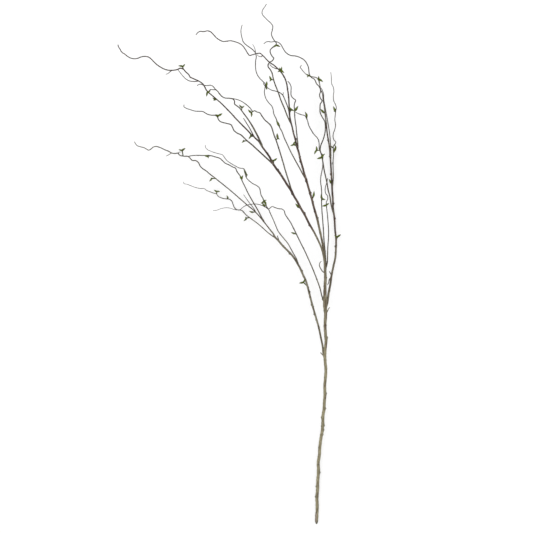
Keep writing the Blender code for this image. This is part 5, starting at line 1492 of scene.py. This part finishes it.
# Yellow-green along the rib: partly the rib's own colour, partly painted glow and highlight of light through
# the leaf
colour = colours_mixed(tree, ranged(tree, across, 0.14, 0.05, 0.0, 0.8), colour, LEAF_RIB_AND_GLOW)
slant = calculated(tree, "SUBTRACT", calculated(tree, "MULTIPLY", own[0], VEINS_ON_LEAF), across)
vein = calculated(tree, "SINE", calculated(tree, "MULTIPLY", slant, 2 * math.pi))
colour = colours_mixed(tree, ranged(tree, vein, 0.6, 1.0, 0.0, 0.4), colour, LEAF_VEIN)
under = ranged(tree, stored(tree, "under").outputs["Fac"], 0.5, 0.9, 0.0, 0.5)
colour = colours_mixed(tree, under, colour, LEAF_UNDER)
colour = colours_mixed(tree, ranged(tree, own[2], 0.6, 1.0, 0.0, 0.5), colour, LEAF_TINT)
tree.links.new(colour, shader.inputs["Base Color"])
tree.links.new(ranged(tree, shade, 0.0, 1.0, 0.42, 0.60), shader.inputs["Roughness"])
shader.inputs["Specular IOR Level"].default_value = 0.2
print("finish:", leaf.name)

# %% [markdown]
# ## Putting the stems together
# Each stem becomes a bark piece, with its spurs, and each stem that has sprouts also a leaf piece, with
# stalks and bud scales; both stand for the stem's one frame node. They could be one mesh, but a bark and a
# leaf are repainted separately, so they stay apart.

# %% The bark pieces


def on_the_frame(piece, node, finish):
    """The piece stands for a CAD node, rides on the one body, and names the finish it takes."""
    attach(piece, "root")
    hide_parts(node)
    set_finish(piece, finish)


total = 0.0
for offset, (name, stem) in enumerate(STEMS.items(), start=1):
    skins = [stem_skin(name, offset)]
    for i, spur in enumerate(stem.get("spurs", []), start=1):
        skins.append(spur_skin(spur, name, 100 * offset + i))
    finishes = [barks.get(name, barks["twig"])] + ([wood] if "grows_from" not in stem else [])
    piece = mesh_piece(name + "_bark", skins, finishes)
    on_the_frame(piece, name, stem["bark"] + "_bark")
    total += sum(volume_inside(skin) for skin in skins)
print("wood and bark in cm3:", round(total * 1e6, 1))

# %% The leaf pieces
for first, (name, sprouts) in enumerate(SPROUTS.items(), start=1):
    draw = random.Random(name)
    skins = []
    for i, sprout in enumerate(sprouts):
        skins += sprout_skins(sprout, routes[name][0], draw, 10 * first + i)
    piece = mesh_piece(name + "_leaves", skins, [leaf, barks["stalk"], barks["twig"]])
    on_the_frame(piece, name, "leaf")
made = [obj for obj in bpy.data.objects if obj.get("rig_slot")]
print("pieces:", len(made), "faces:", sum(len(obj.data.polygons) for obj in made))

# %% [markdown]
# ## Floor, light and camera
# The picture shows the branch on plain white, without a hard shadow. A large pale floor under an even white
# sky and one broad, soft lamp from the upper left give that. A white floor that only reflects comes out
# grey when the branch is lit as it should be, so this one also gives off light, up to just white: brighter
# than that, it would eat into the thin twigs. The camera stands far off with a long lens, straight above,
# so that the crown, which is 13 cm closer than the cut end, is not enlarged.

# %% Floor, light and camera
FLOOR_SIZE = 120.0
FLOOR_DROP = 0.0003
CAMERA_HEIGHT = 24.0
SENSOR = 36.0
PICTURE_SIDE = 533
PICTURE_MIDDLE = (266.5, 266.25)
FLOOR_GREY = 0.33
FLOOR_GLOW = 0.6
SKY_STRENGTH = 1.2
LAMP_STRENGTH = 0.7
LAMP_SPREAD = math.radians(90)
LAMP_TURN = (math.radians(-28), math.radians(-32), 0)

side = FLOOR_SIZE / 2
floor_mesh = bpy.data.meshes.new("floor")
floor_mesh.from_pydata([(-side, -side, -FLOOR_DROP), (side, -side, -FLOOR_DROP), (side, side, -FLOOR_DROP),
                        (-side, side, -FLOOR_DROP)], [], [(0, 1, 2, 3)])
floor = bpy.data.objects.new("floor", floor_mesh)
bpy.context.scene.collection.objects.link(floor)
paper, tree, shader = new_material("pale paper")
shader.inputs["Base Color"].default_value = (FLOOR_GREY, FLOOR_GREY, FLOOR_GREY, 1)
shader.inputs["Roughness"].default_value = 0.9
shader.inputs["Emission Color"].default_value = (1, 1, 1, 1)
shader.inputs["Emission Strength"].default_value = FLOOR_GLOW
floor_mesh.materials.append(paper)

sky = bpy.data.worlds.new("white sky")
sky.use_nodes = True
sky.node_tree.nodes["Background"].inputs["Color"].default_value = (1, 1, 1, 1)
sky.node_tree.nodes["Background"].inputs["Strength"].default_value = SKY_STRENGTH
bpy.context.scene.world = sky

lamp = bpy.data.lights.new("soft lamp", "SUN")
lamp.energy = LAMP_STRENGTH
lamp.angle = LAMP_SPREAD
lamp_object = bpy.data.objects.new("soft lamp", lamp)
lamp_object.rotation_euler = LAMP_TURN
bpy.context.scene.collection.objects.link(lamp_object)

camera = bpy.data.cameras.new("camera")
camera.sensor_width = SENSOR
camera.lens = SENSOR * CAMERA_HEIGHT / (PICTURE_SIDE * PIXEL)
camera.clip_end = 4 * CAMERA_HEIGHT
camera_object = bpy.data.objects.new("camera", camera)
camera_object.location = (*placed(PICTURE_MIDDLE), CAMERA_HEIGHT)
bpy.context.scene.collection.objects.link(camera_object)
bpy.context.scene.camera = camera_object
bpy.context.scene.view_settings.view_transform = "Standard"
print("the picture is", round(PICTURE_SIDE * PIXEL, 3), "m wide; lens in mm:", round(camera.lens))
